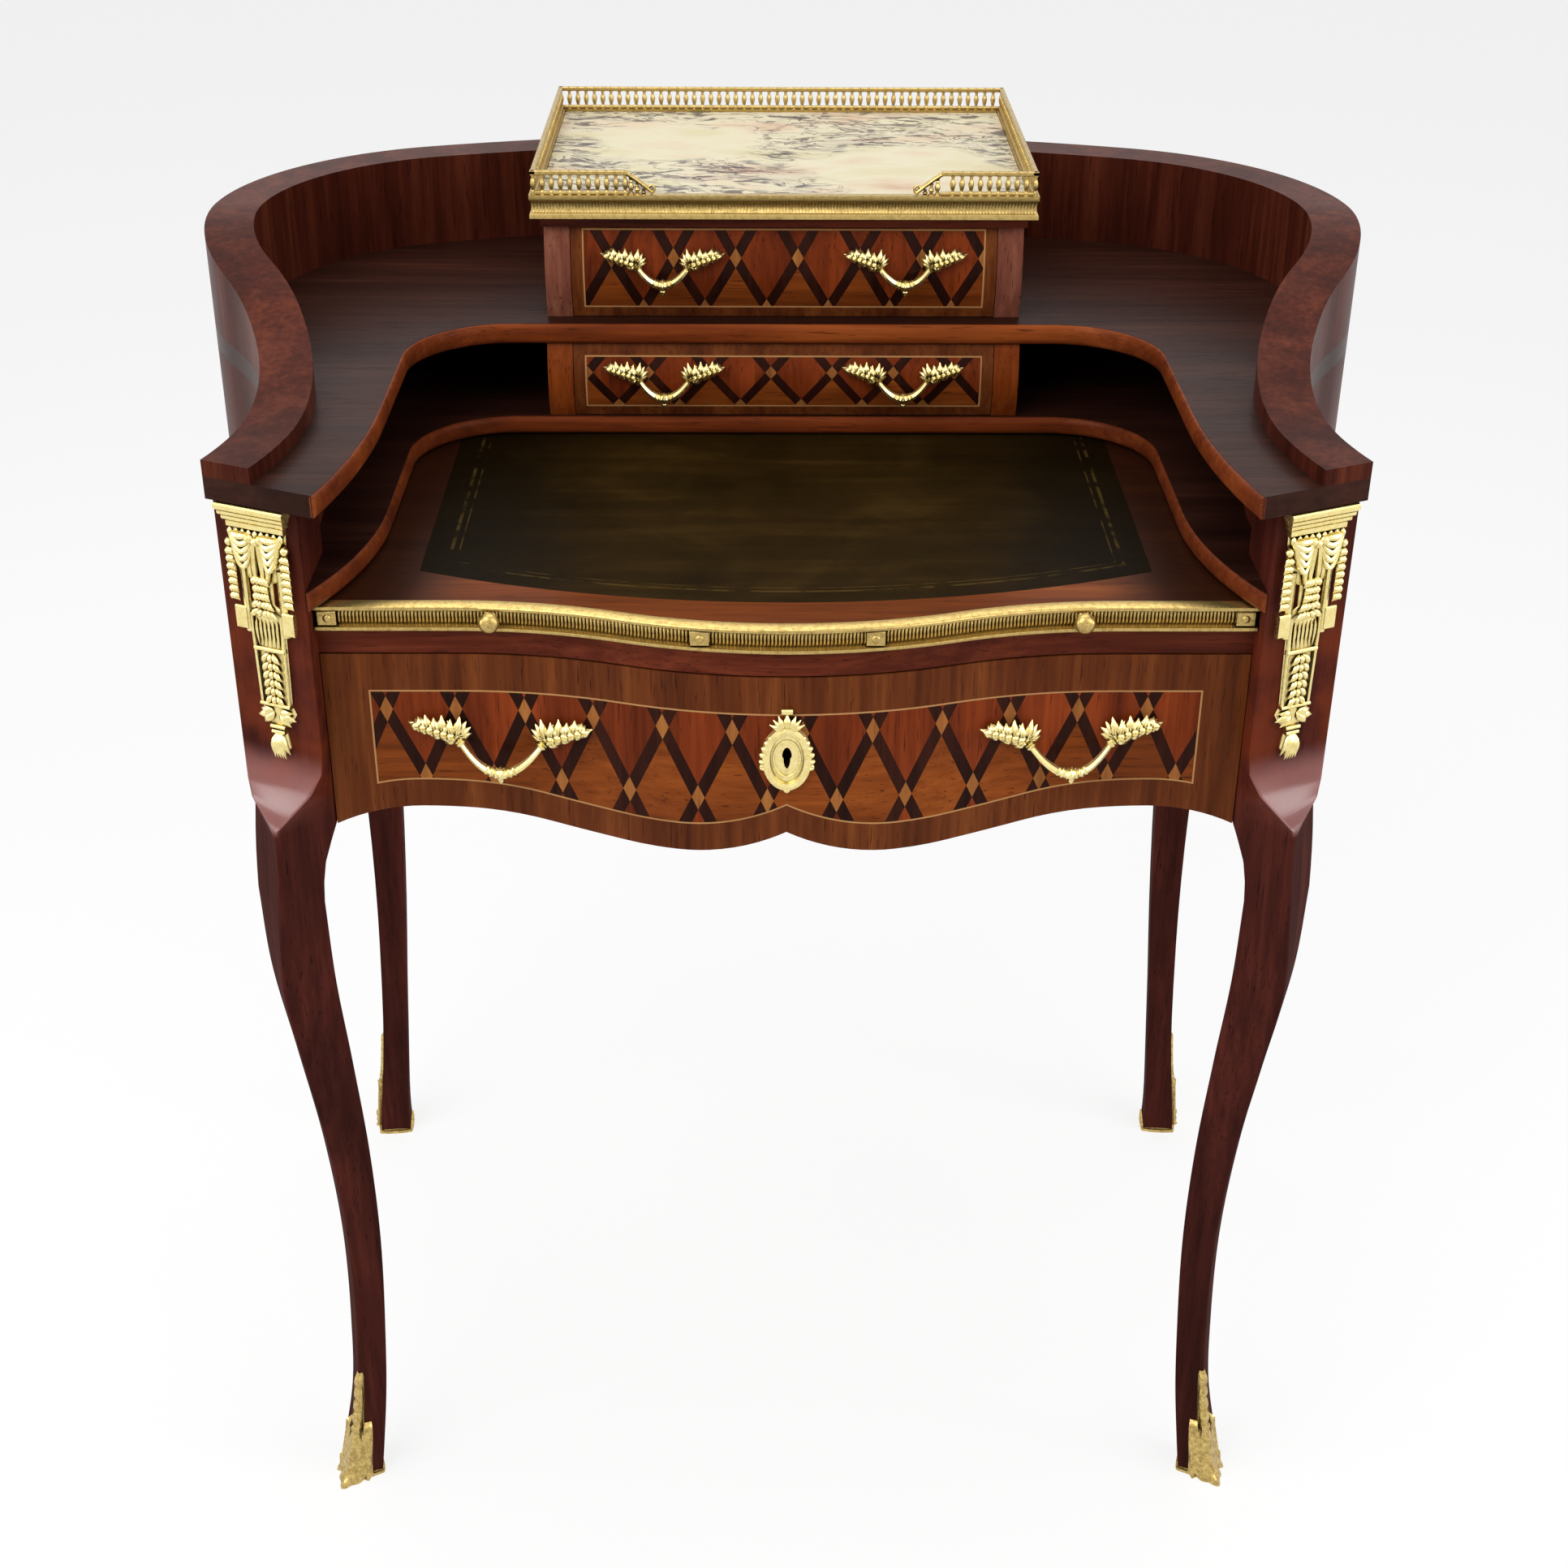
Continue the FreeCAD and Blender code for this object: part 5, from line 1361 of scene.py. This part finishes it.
@dataclass
class Tray:
    """The gilt band and pierced gallery round the marble."""

    half: float = 0.172
    front: float = 0.0265
    back: float = 0.2835
    low: float = 0.897
    high: float = 0.913
    top: float = 0.929
    returns: float = 0.062
    rake: float = 0.018
    pitch: float = 0.0064
    wall: float = 0.006
    flute_pitch: float = 0.0022
    baluster: float = 0.00125
    slope_power: float = 1.15
    inset: float = 0.003

    def band(self) -> Patchwork:
        """Build the band: a moulded profile carried round the tray, its frieze fluted by |sin| along the way.

        Returns:
            Patchwork of the band.
        """
        profile = np.array([(0.0, 0.0), (0.0, 0.16), (0.06, 0.22), (0.22, 0.25), (0.22, 0.36), (0.26, 0.5),
                            (0.22, 0.64), (0.22, 0.72), (0.06, 0.75), (0.0, 0.82), (0.0, 1.0), (1.0, 1.0),
                            (1.0, 0.0)])
        sunk = (np.abs(profile[:, 1] - 0.5) < 0.16) * (profile[:, 0] < 0.5)
        level = self.low + profile[:, 1] * (self.high - self.low)
        middle = (self.front + self.back) / 2
        deep = (self.back - self.front) / 2
        work = Patchwork()
        for quarter in range(4):
            long, near = (self.half, deep) if quarter % 2 == 0 else (deep, self.half)
            count = 8 * int(round(long / self.flute_pitch)) + 1
            flute = np.abs(np.sin(np.arange(count) * math.pi / 4))[:, None]
            depth = profile[:, 0] * self.wall + sunk * flute * 0.0009
            along = np.linspace(-1, 1, count)[:, None] * (long - depth)
            across = depth - near
            cosine, sine = math.cos(quarter * math.pi / 2), math.sin(quarter * math.pi / 2)
            work.add(xyz(along * cosine - across * sine, along * sine + across * cosine + middle, level))
        return work

    def rails(self) -> list[Points]:
        """Give the corners of the gallery's rails, from one raked end round the back to the other.

        Returns:
            Six places in plan.
        """
        edge = self.half - self.inset
        start = edge - self.returns
        front, back = self.front + self.inset, self.back - self.inset
        return [np.array(corner) for corner in ((-start, front), (-edge, front), (-edge, back), (edge, back),
                                                (edge, front), (start, front))]

    def gallery(self) -> Patchwork:
        """Build the gallery: turned balusters between two rails, with scrolled ends that slope to the band.

        Returns:
            Patchwork of the gallery.
        """
        work = Patchwork()
        corners = self.rails()
        tall = self.top - self.high
        heights = np.array([0, 0.10, 0.18, 0.30, 0.46, 0.60, 0.70, 0.78, 0.86, 1.0]) * tall
        radii = np.array([1.5, 1.5, 0.75, 1.25, 1.6, 1.15, 0.7, 1.1, 0.75, 1.2]) * self.baluster
        post = lathe(radii, heights, 8)
        for first, last in zip(corners[:-1], corners[1:]):
            run = last - first
            length = float(np.linalg.norm(run))
            count = max(int(round(length / self.pitch)), 1)
            steps = first + (np.arange(count) / count)[:, None] * run
            work.add(*(post + (x, y, self.high) for x, y in steps))
            ahead = np.append(run, 0) / length
            over = ahead * 0.0017
            for low, high, wide in ((0.0, 0.0022, 0.0036), (tall - 0.0030, tall, 0.0034)):
                loop = rounded(wide, high - low, 0.0006, (0, self.high + (low + high) / 2))
                work.add(bar(loop, np.append(first, 0) - over, np.append(last, 0) + over, np.cross(ahead, UP)))
        share = np.linspace(0, 1, 16)
        curl = np.linspace(0, 2.2 * np.pi, 22)
        reel = 0.0030 * (1 - curl / 9.0)
        for hand, (x, y) in zip(HANDS, (corners[0], corners[-1])):
            fall = (tall - 0.0032) * share ** self.slope_power
            slope = xyz(x - hand * self.rake * share, y, self.top - 0.0016 - fall)
            scroll = xyz(x - hand * (self.rake - 0.001 + reel * np.sin(curl)), y,
                         self.high + 0.0040 - reel * np.cos(curl))
            work.add(tube(slope, 0.0015), tube(scroll, 0.0010))
            for step in (0.22, 0.45, 0.68):
                reach = 1 - step ** self.slope_power - 0.002 / tall
                work.add(lathe(radii, heights * reach, 8) + (x - hand * self.rake * step, y, self.high))
        return work


@dataclass
class SlideEdge:
    """The gilt edge of the writing slide: two beads, a ribbed band between them, joint plates and two knobs."""

    curve: Serpentine = field(default_factory=Serpentine)
    half: float = 0.2830
    top: float = 0.7445
    tall: float = 0.017
    proud: float = 0.009
    knob_x: float = 0.178
    plates: tuple[float, ...] = (-0.2755, -0.052, 0.052, 0.2755)
    stations: int = 1030
    relief: float = 0.0015

    def edge(self) -> Patchwork:
        """Build the edge: a profile carried along the serpentine, its middle band ribbed along the way.

        Returns:
            Patchwork of the edge.
        """
        profile = np.array([(0.0, 0.0), (0.80, 0.0), (0.96, 0.05), (1.0, 0.11), (0.96, 0.17), (0.74, 0.21),
                            (0.56, 0.25), (0.54, 0.36), (0.54, 0.5), (0.54, 0.64), (0.56, 0.75), (0.74, 0.79),
                            (0.96, 0.83), (1.0, 0.89), (0.96, 0.95), (0.80, 1.0), (0.0, 1.0)])
        x = np.linspace(-self.half, self.half, self.stations)
        rib = np.abs(np.sin(np.arange(self.stations) * math.pi / 4))[:, None]
        middle = np.abs(profile[:, 1] - 0.5) < 0.2
        y = self.curve.depth(x)[:, None] - (profile[:, 0] * self.proud + middle * rib * self.relief)
        z = self.top - self.tall + profile[:, 1] * self.tall
        work = Patchwork().add(capped(xyz(x[:, None], y, z)))
        for place in self.plates:
            self.plate(work, place)
        return work

    def seat(self, x: float, share: float) -> Points:
        """Give the middle of the edge at x, standing out by a share of its depth."""
        return np.array([x, self.curve.depth(x) - self.proud * share, self.top - self.tall / 2])

    def plate(self, work: Patchwork, place: float) -> None:
        """Add a plain joint plate held by a domed screw.

        Args:
            work: Patchwork to add to.
            place: Its middle across the front.
        """
        middle, half = self.seat(place, 0.72), RIGHT * 0.0055
        loop = rounded(0.0034, self.tall * 0.56, 0.0006)
        turn = np.linspace(0, np.pi / 2, 6)
        dome = spindle(np.append(0.0026 * np.cos(turn), 0.0), np.append(0.0012 * np.sin(turn), 0.0012), 14)
        work.add(bar(loop, middle - half, middle + half), dome + middle + OUT * 0.0016)

    def knobs(self) -> Patchwork:
        """Build the knobs: a collared neck and a ball with a small boss, turned about the y axis.

        Returns:
            Patchwork of both knobs.
        """
        radii = np.array([0.0, 3.9, 4.1, 3.4, 2.4, 2.5, 4.3, 5.6, 6.3, 6.4, 6.0, 5.0, 3.6, 2.4, 2.3, 1.4, 0.0])
        along = np.array([0.0, 0.0, 0.8, 1.3, 2.0, 3.0, 4.0, 5.2, 6.8, 8.2, 9.8, 11.2, 12.0, 12.3, 12.8, 13.2,
                          13.3])
        ball = spindle(radii * 0.001, along * 0.001, 24)
        return Patchwork().add(*(ball + self.seat(hand * self.knob_x, 0.62) for hand in HANDS))


@dataclass
class Nosing:
    """A rounded lip on the edge of a shelf, from one front corner round the opening to the other."""

    low: float
    high: float
    corner: tuple[float, float]
    half: float = 0.254
    back: float = 0.0245
    bend: float = 0.068
    flare: float = -0.1485
    proud: float = 0.0028
    sunk: float = 0.0012

    def path(self) -> Points:
        """Give the edge in plan: a flare, a straight and a quarter round on each side.

        The flare is an arc of radius ((y1 - y0)^2 + dx^2) / (2 dx).

        Returns:
            Points from the left front corner to the right one.
        """
        reach, depth = self.corner
        wide = reach - self.half
        radius = ((self.flare - depth) ** 2 + wide ** 2) / (2 * wide)
        y = np.linspace(depth, self.flare, 30)
        flare = np.column_stack([self.half + radius - np.sqrt(radius ** 2 - (y - self.flare) ** 2), y])
        turn = np.linspace(0, np.pi / 2, 20)
        corner = np.column_stack([self.half - self.bend * (1 - np.cos(turn)),
                                  self.back - self.bend * (1 - np.sin(turn))])
        right = np.vstack([flare, corner])
        return np.vstack([right * np.array([-1, 1]), right[::-1]])

    def gather(self) -> Patchwork:
        """Build the lip: a half round carried along the path, square to it, closed at both ends.

        Returns:
            Patchwork of the lip.
        """
        path = self.path()
        ahead = np.gradient(path, axis=0)
        ahead = ahead / np.linalg.norm(ahead, axis=1)[:, None]
        inward = np.column_stack([ahead[:, 1], -ahead[:, 0]])
        turn = np.linspace(-np.pi / 2, np.pi / 2, 13)
        out = np.append(self.proud * np.cos(turn), [-self.sunk, -self.sunk])
        tall = (self.high - self.low) / 2 - 0.0002
        level = np.append(tall * np.sign(np.sin(turn)) * np.abs(np.sin(turn)) ** 0.7, [tall * 0.9, -tall * 0.9])
        plan = path[:, None] + out[None, :, None] * inward[:, None]
        return Patchwork().add(capped(xyz(plan[..., 0], plan[..., 1], (self.low + self.high) / 2 + level)))


@dataclass
class Stage:
    """Floor, light and camera."""

    spot: tuple[float, float, float] = (-0.0162, -1.495, 1.3161)
    pitch: float = 29.385
    yaw: float = -0.69
    roll: float = 0.35
    lens: float = 52.03
    sensor: float = 36.0
    reach: float = 14.0
    floor_glow: float = 0.80
    room_light: float = 0.32
    aim_height: float = 0.55
    lamps: tuple[tuple[str, tuple[float, float, float], float, float], ...] = (
        ("key_lamp", (-1.5, -1.9, 2.6), 2.2, 62.0), ("fill_lamp", (1.9, -1.6, 1.9), 2.0, 30.0),
        ("top_lamp", (0.0, 0.6, 3.0), 2.4, 34.0), ("left_window", (-2.2, -0.6, 0.85), 0.8, 12.0),
        ("right_window", (2.2, -0.6, 0.85), 0.8, 11.0))

    def build(self) -> None:
        """Lay the floor, hang the lamps, light the room and set the camera."""
        self.floor()
        self.light()
        self.room()
        self.camera()

    def floor(self) -> None:
        """Lay a pale floor that looks white to the camera and keeps a soft shadow."""
        shader = Shader("pale_floor")
        shader.dress(base_color=(0.9, 0.9, 0.9, 1), roughness=0.9)
        glow = shader.node("ShaderNodeEmission", sockets={"Color": WHITE, "Strength": 1.0})
        sockets = {0: shader.seen() * self.floor_glow, 1: shader.out(shader.surface), 2: shader.out(glow)}
        mixed = shader.node("ShaderNodeMixShader", sockets=sockets)
        shader.feed(shader.output.inputs["Surface"], shader.out(mixed))
        mesh = bpy.data.meshes.new("floor")
        corners = [(x * self.reach, y * self.reach, 0.0) for x, y in ((-1, -1), (1, -1), (1, 1), (-1, 1))]
        mesh.from_pydata(corners, [], [(0, 1, 2, 3)])
        mesh.materials.append(shader.material)
        floor = stand("floor", mesh)

    def light(self) -> None:
        """Hang three soft lamps over the desk, and two small ones low at its sides."""
        for name, place, size, power in self.lamps:
            lamp = bpy.data.lights.new(name, "AREA")
            lamp.size = size
            lamp.energy = power
            holder = stand(name, lamp)
            aim = Vector((0.0, 0.0, self.aim_height)) - Vector(place)
            holder.location = place
            holder.visible_camera = False
            holder.rotation_euler = aim.to_track_quat("-Z", "Y").to_euler()

    def room(self) -> None:
        """Put a pale room round the desk, which looks white to the camera and in gloss."""
        world = bpy.data.worlds.new("pale_room")
        world.use_nodes = True
        graph = Graph(world.node_tree)
        strength = graph.most(graph.seen(), self.room_light)
        air = graph.node("ShaderNodeBackground", sockets={"Color": WHITE, "Strength": strength})
        graph.node("ShaderNodeOutputWorld", sockets={"Surface": graph.out(air)})
        bpy.context.scene.world = world
        bpy.context.scene.view_settings.view_transform = "Standard"

    def camera(self) -> None:
        """Stand the camera where the photograph was taken from."""
        data = bpy.data.cameras.new("camera")
        data.sensor_width = self.sensor
        data.lens = self.lens
        data.clip_end = 60.0
        eye = stand("camera", data)
        turn = Matrix.Rotation(math.radians(self.yaw), 4, "Z")
        tilt = Matrix.Rotation(math.radians(90 - self.pitch), 4, "X")
        lean = Matrix.Rotation(math.radians(self.roll), 4, "Z")
        eye.matrix_world = Matrix.Translation(self.spot) @ turn @ tilt @ lean
        bpy.context.scene.camera = eye


def clothe(nodes: Iterable[str], material: bpy.types.Material) -> None:
    """Give some solids a finish.

    Args:
        nodes: Names of the solids.
        material: Their finish.
    """
    for name in nodes:
        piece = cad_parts[name]
        if not piece.material_slots:
            piece.data.materials.append(material)
        for slot in piece.material_slots:
            slot.link = "OBJECT"
            slot.material = material
        LOG.info("%s: dressed", name)


def sided(*stems: str) -> list[str]:
    """Give the left and right names of some stems."""
    return ["%s_%s" % (stem, side) for stem in stems for _, side in SIDES]


@dataclass
class Carcass:
    """The veneered case, its legs and its plain runners."""

    polish: dict[str, Polish] = field(default_factory=lambda: {
        "wall": Polish("wall_veneer", WALL_WOOD, Grain.UPRIGHT, coat=0.01, sheen=0.04),
        "board": Polish("board_veneer", SHELF_WOOD, Grain.ACROSS, seed=0.4),
        "rail": Polish("rail_veneer", ROSEWOOD, Grain.ACROSS, seed=0.6),
        "cheek": Polish("cheek_veneer", CHEEK_WOOD, Grain.UPRIGHT, seed=0.1),
        "dusky": Polish("dusky_veneer", DUSKY_WOOD, Grain.UPRIGHT, seed=0.7),
        "nosing": ShadedNosing("nosing_wood", NOSING_WOOD, Grain.ACROSS, seed=0.5),
        "leg": PolishedKnee("leg_wood", DARK_WOOD, Grain.UPRIGHT, coat=0.06, seed=0.8, sheen=0.0, satin=0.27),
        "inside": Polish("bare_lining", LINING, Grain.DEEP, roughness=0.62, coat=0.0),
    })
    lips: dict[str, Nosing] = field(default_factory=lambda: {
        "shelf_nosing": Nosing(0.811, 0.825, (0.272, -0.2892)),
        "board_nosing": Nosing(0.7455, 0.758, (0.2838, -0.2755)),
    })

    def build(self) -> None:
        """Dress the case, shape its front legs and round the lips of its boards."""
        made = {key: polish.build() for key, polish in self.polish.items()}
        clothe(sided("side_wall", "gallery_wall") + ["back_wall", "gallery_wall_back"], made["wall"])
        clothe(sided("upper_cheek"), made["dusky"])
        clothe(sided("lower_cheek"), made["cheek"])
        clothe(["upper_shelf", "lower_board"], made["board"])
        clothe(["front_rail", "tray_board"], made["rail"])
        clothe(sided("leg_rear"), made["leg"])
        leg = FrontLeg()
        for hand, side in SIDES:
            leg.gather().build("shaped_leg_" + side, made["leg"], "carcass", ["leg_front_" + side], "veneer",
                               bend=mirrored(hand), facts={TONGUE: leg.tongue})
        clothe(["slide_runners", "drawer_runners"], made["inside"])
        for name, lip in self.lips.items():
            lip.gather().build(name, made["nosing"], "carcass", slot="veneer")


@dataclass
class WritingSlide:
    """The pull-out board with its leather."""

    veneer: Polish = BandedShadedSlide("slide_veneer", SLIDE_WOOD, Grain.ACROSS, seed=0.2)
    leather: TooledLeather = TooledLeather()
    trim: SlideEdge = field(default_factory=SlideEdge)

    def build(self, gilt: bpy.types.Material) -> None:
        """Dress the slide and set its dull gilt edge and knobs.

        Args:
            gilt: Finish of the edge and the knobs.
        """
        clothe(["slide_board"], self.veneer.build())
        clothe(["leather_panel"], self.leather.build())
        self.trim.edge().build("gilt_slide_edge", gilt, "writing_slide", ["slide_moulding"])
        self.trim.knobs().build("gilt_slide_knobs", gilt, "writing_slide", ["slide_knobs"])


@dataclass
class Drawers:
    """The three drawers: bare linings, inlaid fronts and a brass lock."""

    lining: Polish = Polish("drawer_lining", LINING, Grain.DEEP, roughness=0.62, coat=0.0, seed=0.3)
    lock: Gilding = Gilding("lock_brass", "b9924f", "7c5a2a", roughness=0.36)
    fronts: dict[str, Marquetry] = field(default_factory=lambda: {
        "main_drawer_front": Marquetry("frieze_marquetry", half=0.255, top=0.683, low=0.020, crossing=0.671,
                                       row=0.047, phase=0.0095, edge=LowerEdge.SHAPED),
        "upper_drawer_front": Marquetry("upper_marquetry", half=0.137, top=0.886, low=0.8335, crossing=0.868,
                                        row=0.036, phase=0.0095),
        "lower_drawer_front": Marquetry("lower_marquetry", half=0.137, top=0.8015, low=0.7665, crossing=0.791,
                                        row=0.024, phase=-0.0088),
    })

    def build(self) -> None:
        """Dress the linings, the fronts and the lock."""
        inside = [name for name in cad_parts
                  if "drawer" in name and "front" not in name and "runner" not in name]
        clothe(inside, self.lining.build())
        for name, inlay in self.fronts.items():
            clothe([name], inlay.build())
        clothe(["lock_case", "lock_bolt"], self.lock.build())


@dataclass
class Fittings:
    """The gilt fittings of drawers, corners, feet and tray."""

    gilt: bpy.types.Material
    dull: bpy.types.Material
    chased: bpy.types.Material
    curve: Serpentine = field(default_factory=Serpentine)
    frieze_pull: tuple[float, float] = (0.176, 0.660)
    small_pull_x: float = 0.083
    swell: float = 0.006

    def build(self) -> None:
        """Set every fitting in place of its plain solid."""
        self.pulls()
        plate = Escutcheon()
        plate.gather().build("gilt_escutcheon", self.gilt, "main_drawer", ["escutcheon"],
                             bend=lambda points: points + np.array(plate.spot))
        tray = Tray()
        tray.band().build("gilt_tray_band", self.dull, "carcass", ["tray_band"])
        tray.gallery().build("gilt_tray_gallery", self.dull, "carcass", ["gallery_back", *sided("gallery")])
        mount = CornerMount()
        for hand, side in SIDES:
            mount.gather().build("gilt_corner_" + side, self.gilt, "carcass", ["corner_mount_" + side],
                                 bend=mount.carry(hand))
            for stem, shoe in SHOES.items():
                shoe.gather().build("gilt_shoe_%s_%s" % (stem, side), self.chased, "carcass",
                                    ["sabot_%s_%s" % (stem, side)], bend=mirrored(hand))

    def pulls(self) -> None:
        """Hang the six pulls, each carried to the face of its drawer front.

        The small fronts swell as y = front - swell (1 - ((z - middle) / half)^2), read at the pull's height.
        """
        large, small = Pull(0.038, 0.031, 0.021), Pull(0.027, 0.0215, 0.017)
        faces = {"upper": (0.869, 0.0405, 0.8575, 0.0325), "lower": (0.793, 0.027, 0.7845, 0.0265)}
        for hand, side in SIDES:
            large.gather().build("gilt_main_pull_" + side, self.gilt, "main_drawer", ["main_handle_" + side],
                                 bend=self.on_frieze(hand))
            for stem, (height, front, middle, half) in faces.items():
                depth = front - self.swell * (1 - ((height - middle) / half) ** 2)
                spot = np.array([hand * self.small_pull_x, depth, height])
                small.gather().build("gilt_%s_pull_%s" % (stem, side), self.gilt, stem + "_drawer",
                                     ["%s_handle_%s" % (stem, side)], bend=lambda points: points + spot)

    def on_frieze(self, hand: int) -> Move:
        """Give the move that carries a pull to the serpentine face and bends it to it.

        Args:
            hand: 1 for the right pull, -1 for the left.

        Returns:
            A function of points.
        """
        x, height = self.frieze_pull

        def move(points: Points) -> Points:
            """Shift the points, and push each by the depth of the face there."""
            moved = points + np.array([hand * x, 0, height])
            return moved + self.curve.depth(moved[:, :1]) * -OUT

        return move


def main() -> None:
    """Build the desk's looks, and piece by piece."""
    logging.basicConfig(level=logging.INFO, format="%(message)s")
    Stage().build()
    gilt = Gilding("gilt_bronze").build()
    dull = Gilding("dull_gilt", "c3a868", "7c6233", "3a2a10", roughness=0.3).build()
    chased = Gilding("chased_gilt", "e2c67c", "735626", "3a2a10", chasing=0.0007, roughness=0.24, worn=0.07).build()
    Carcass().build()
    WritingSlide().build(dull)
    Drawers().build()
    Fittings(gilt, dull, chased).build()
    clothe(["marble_top"], VeinedMarble().build())


if __name__ == "__main__":
    main()
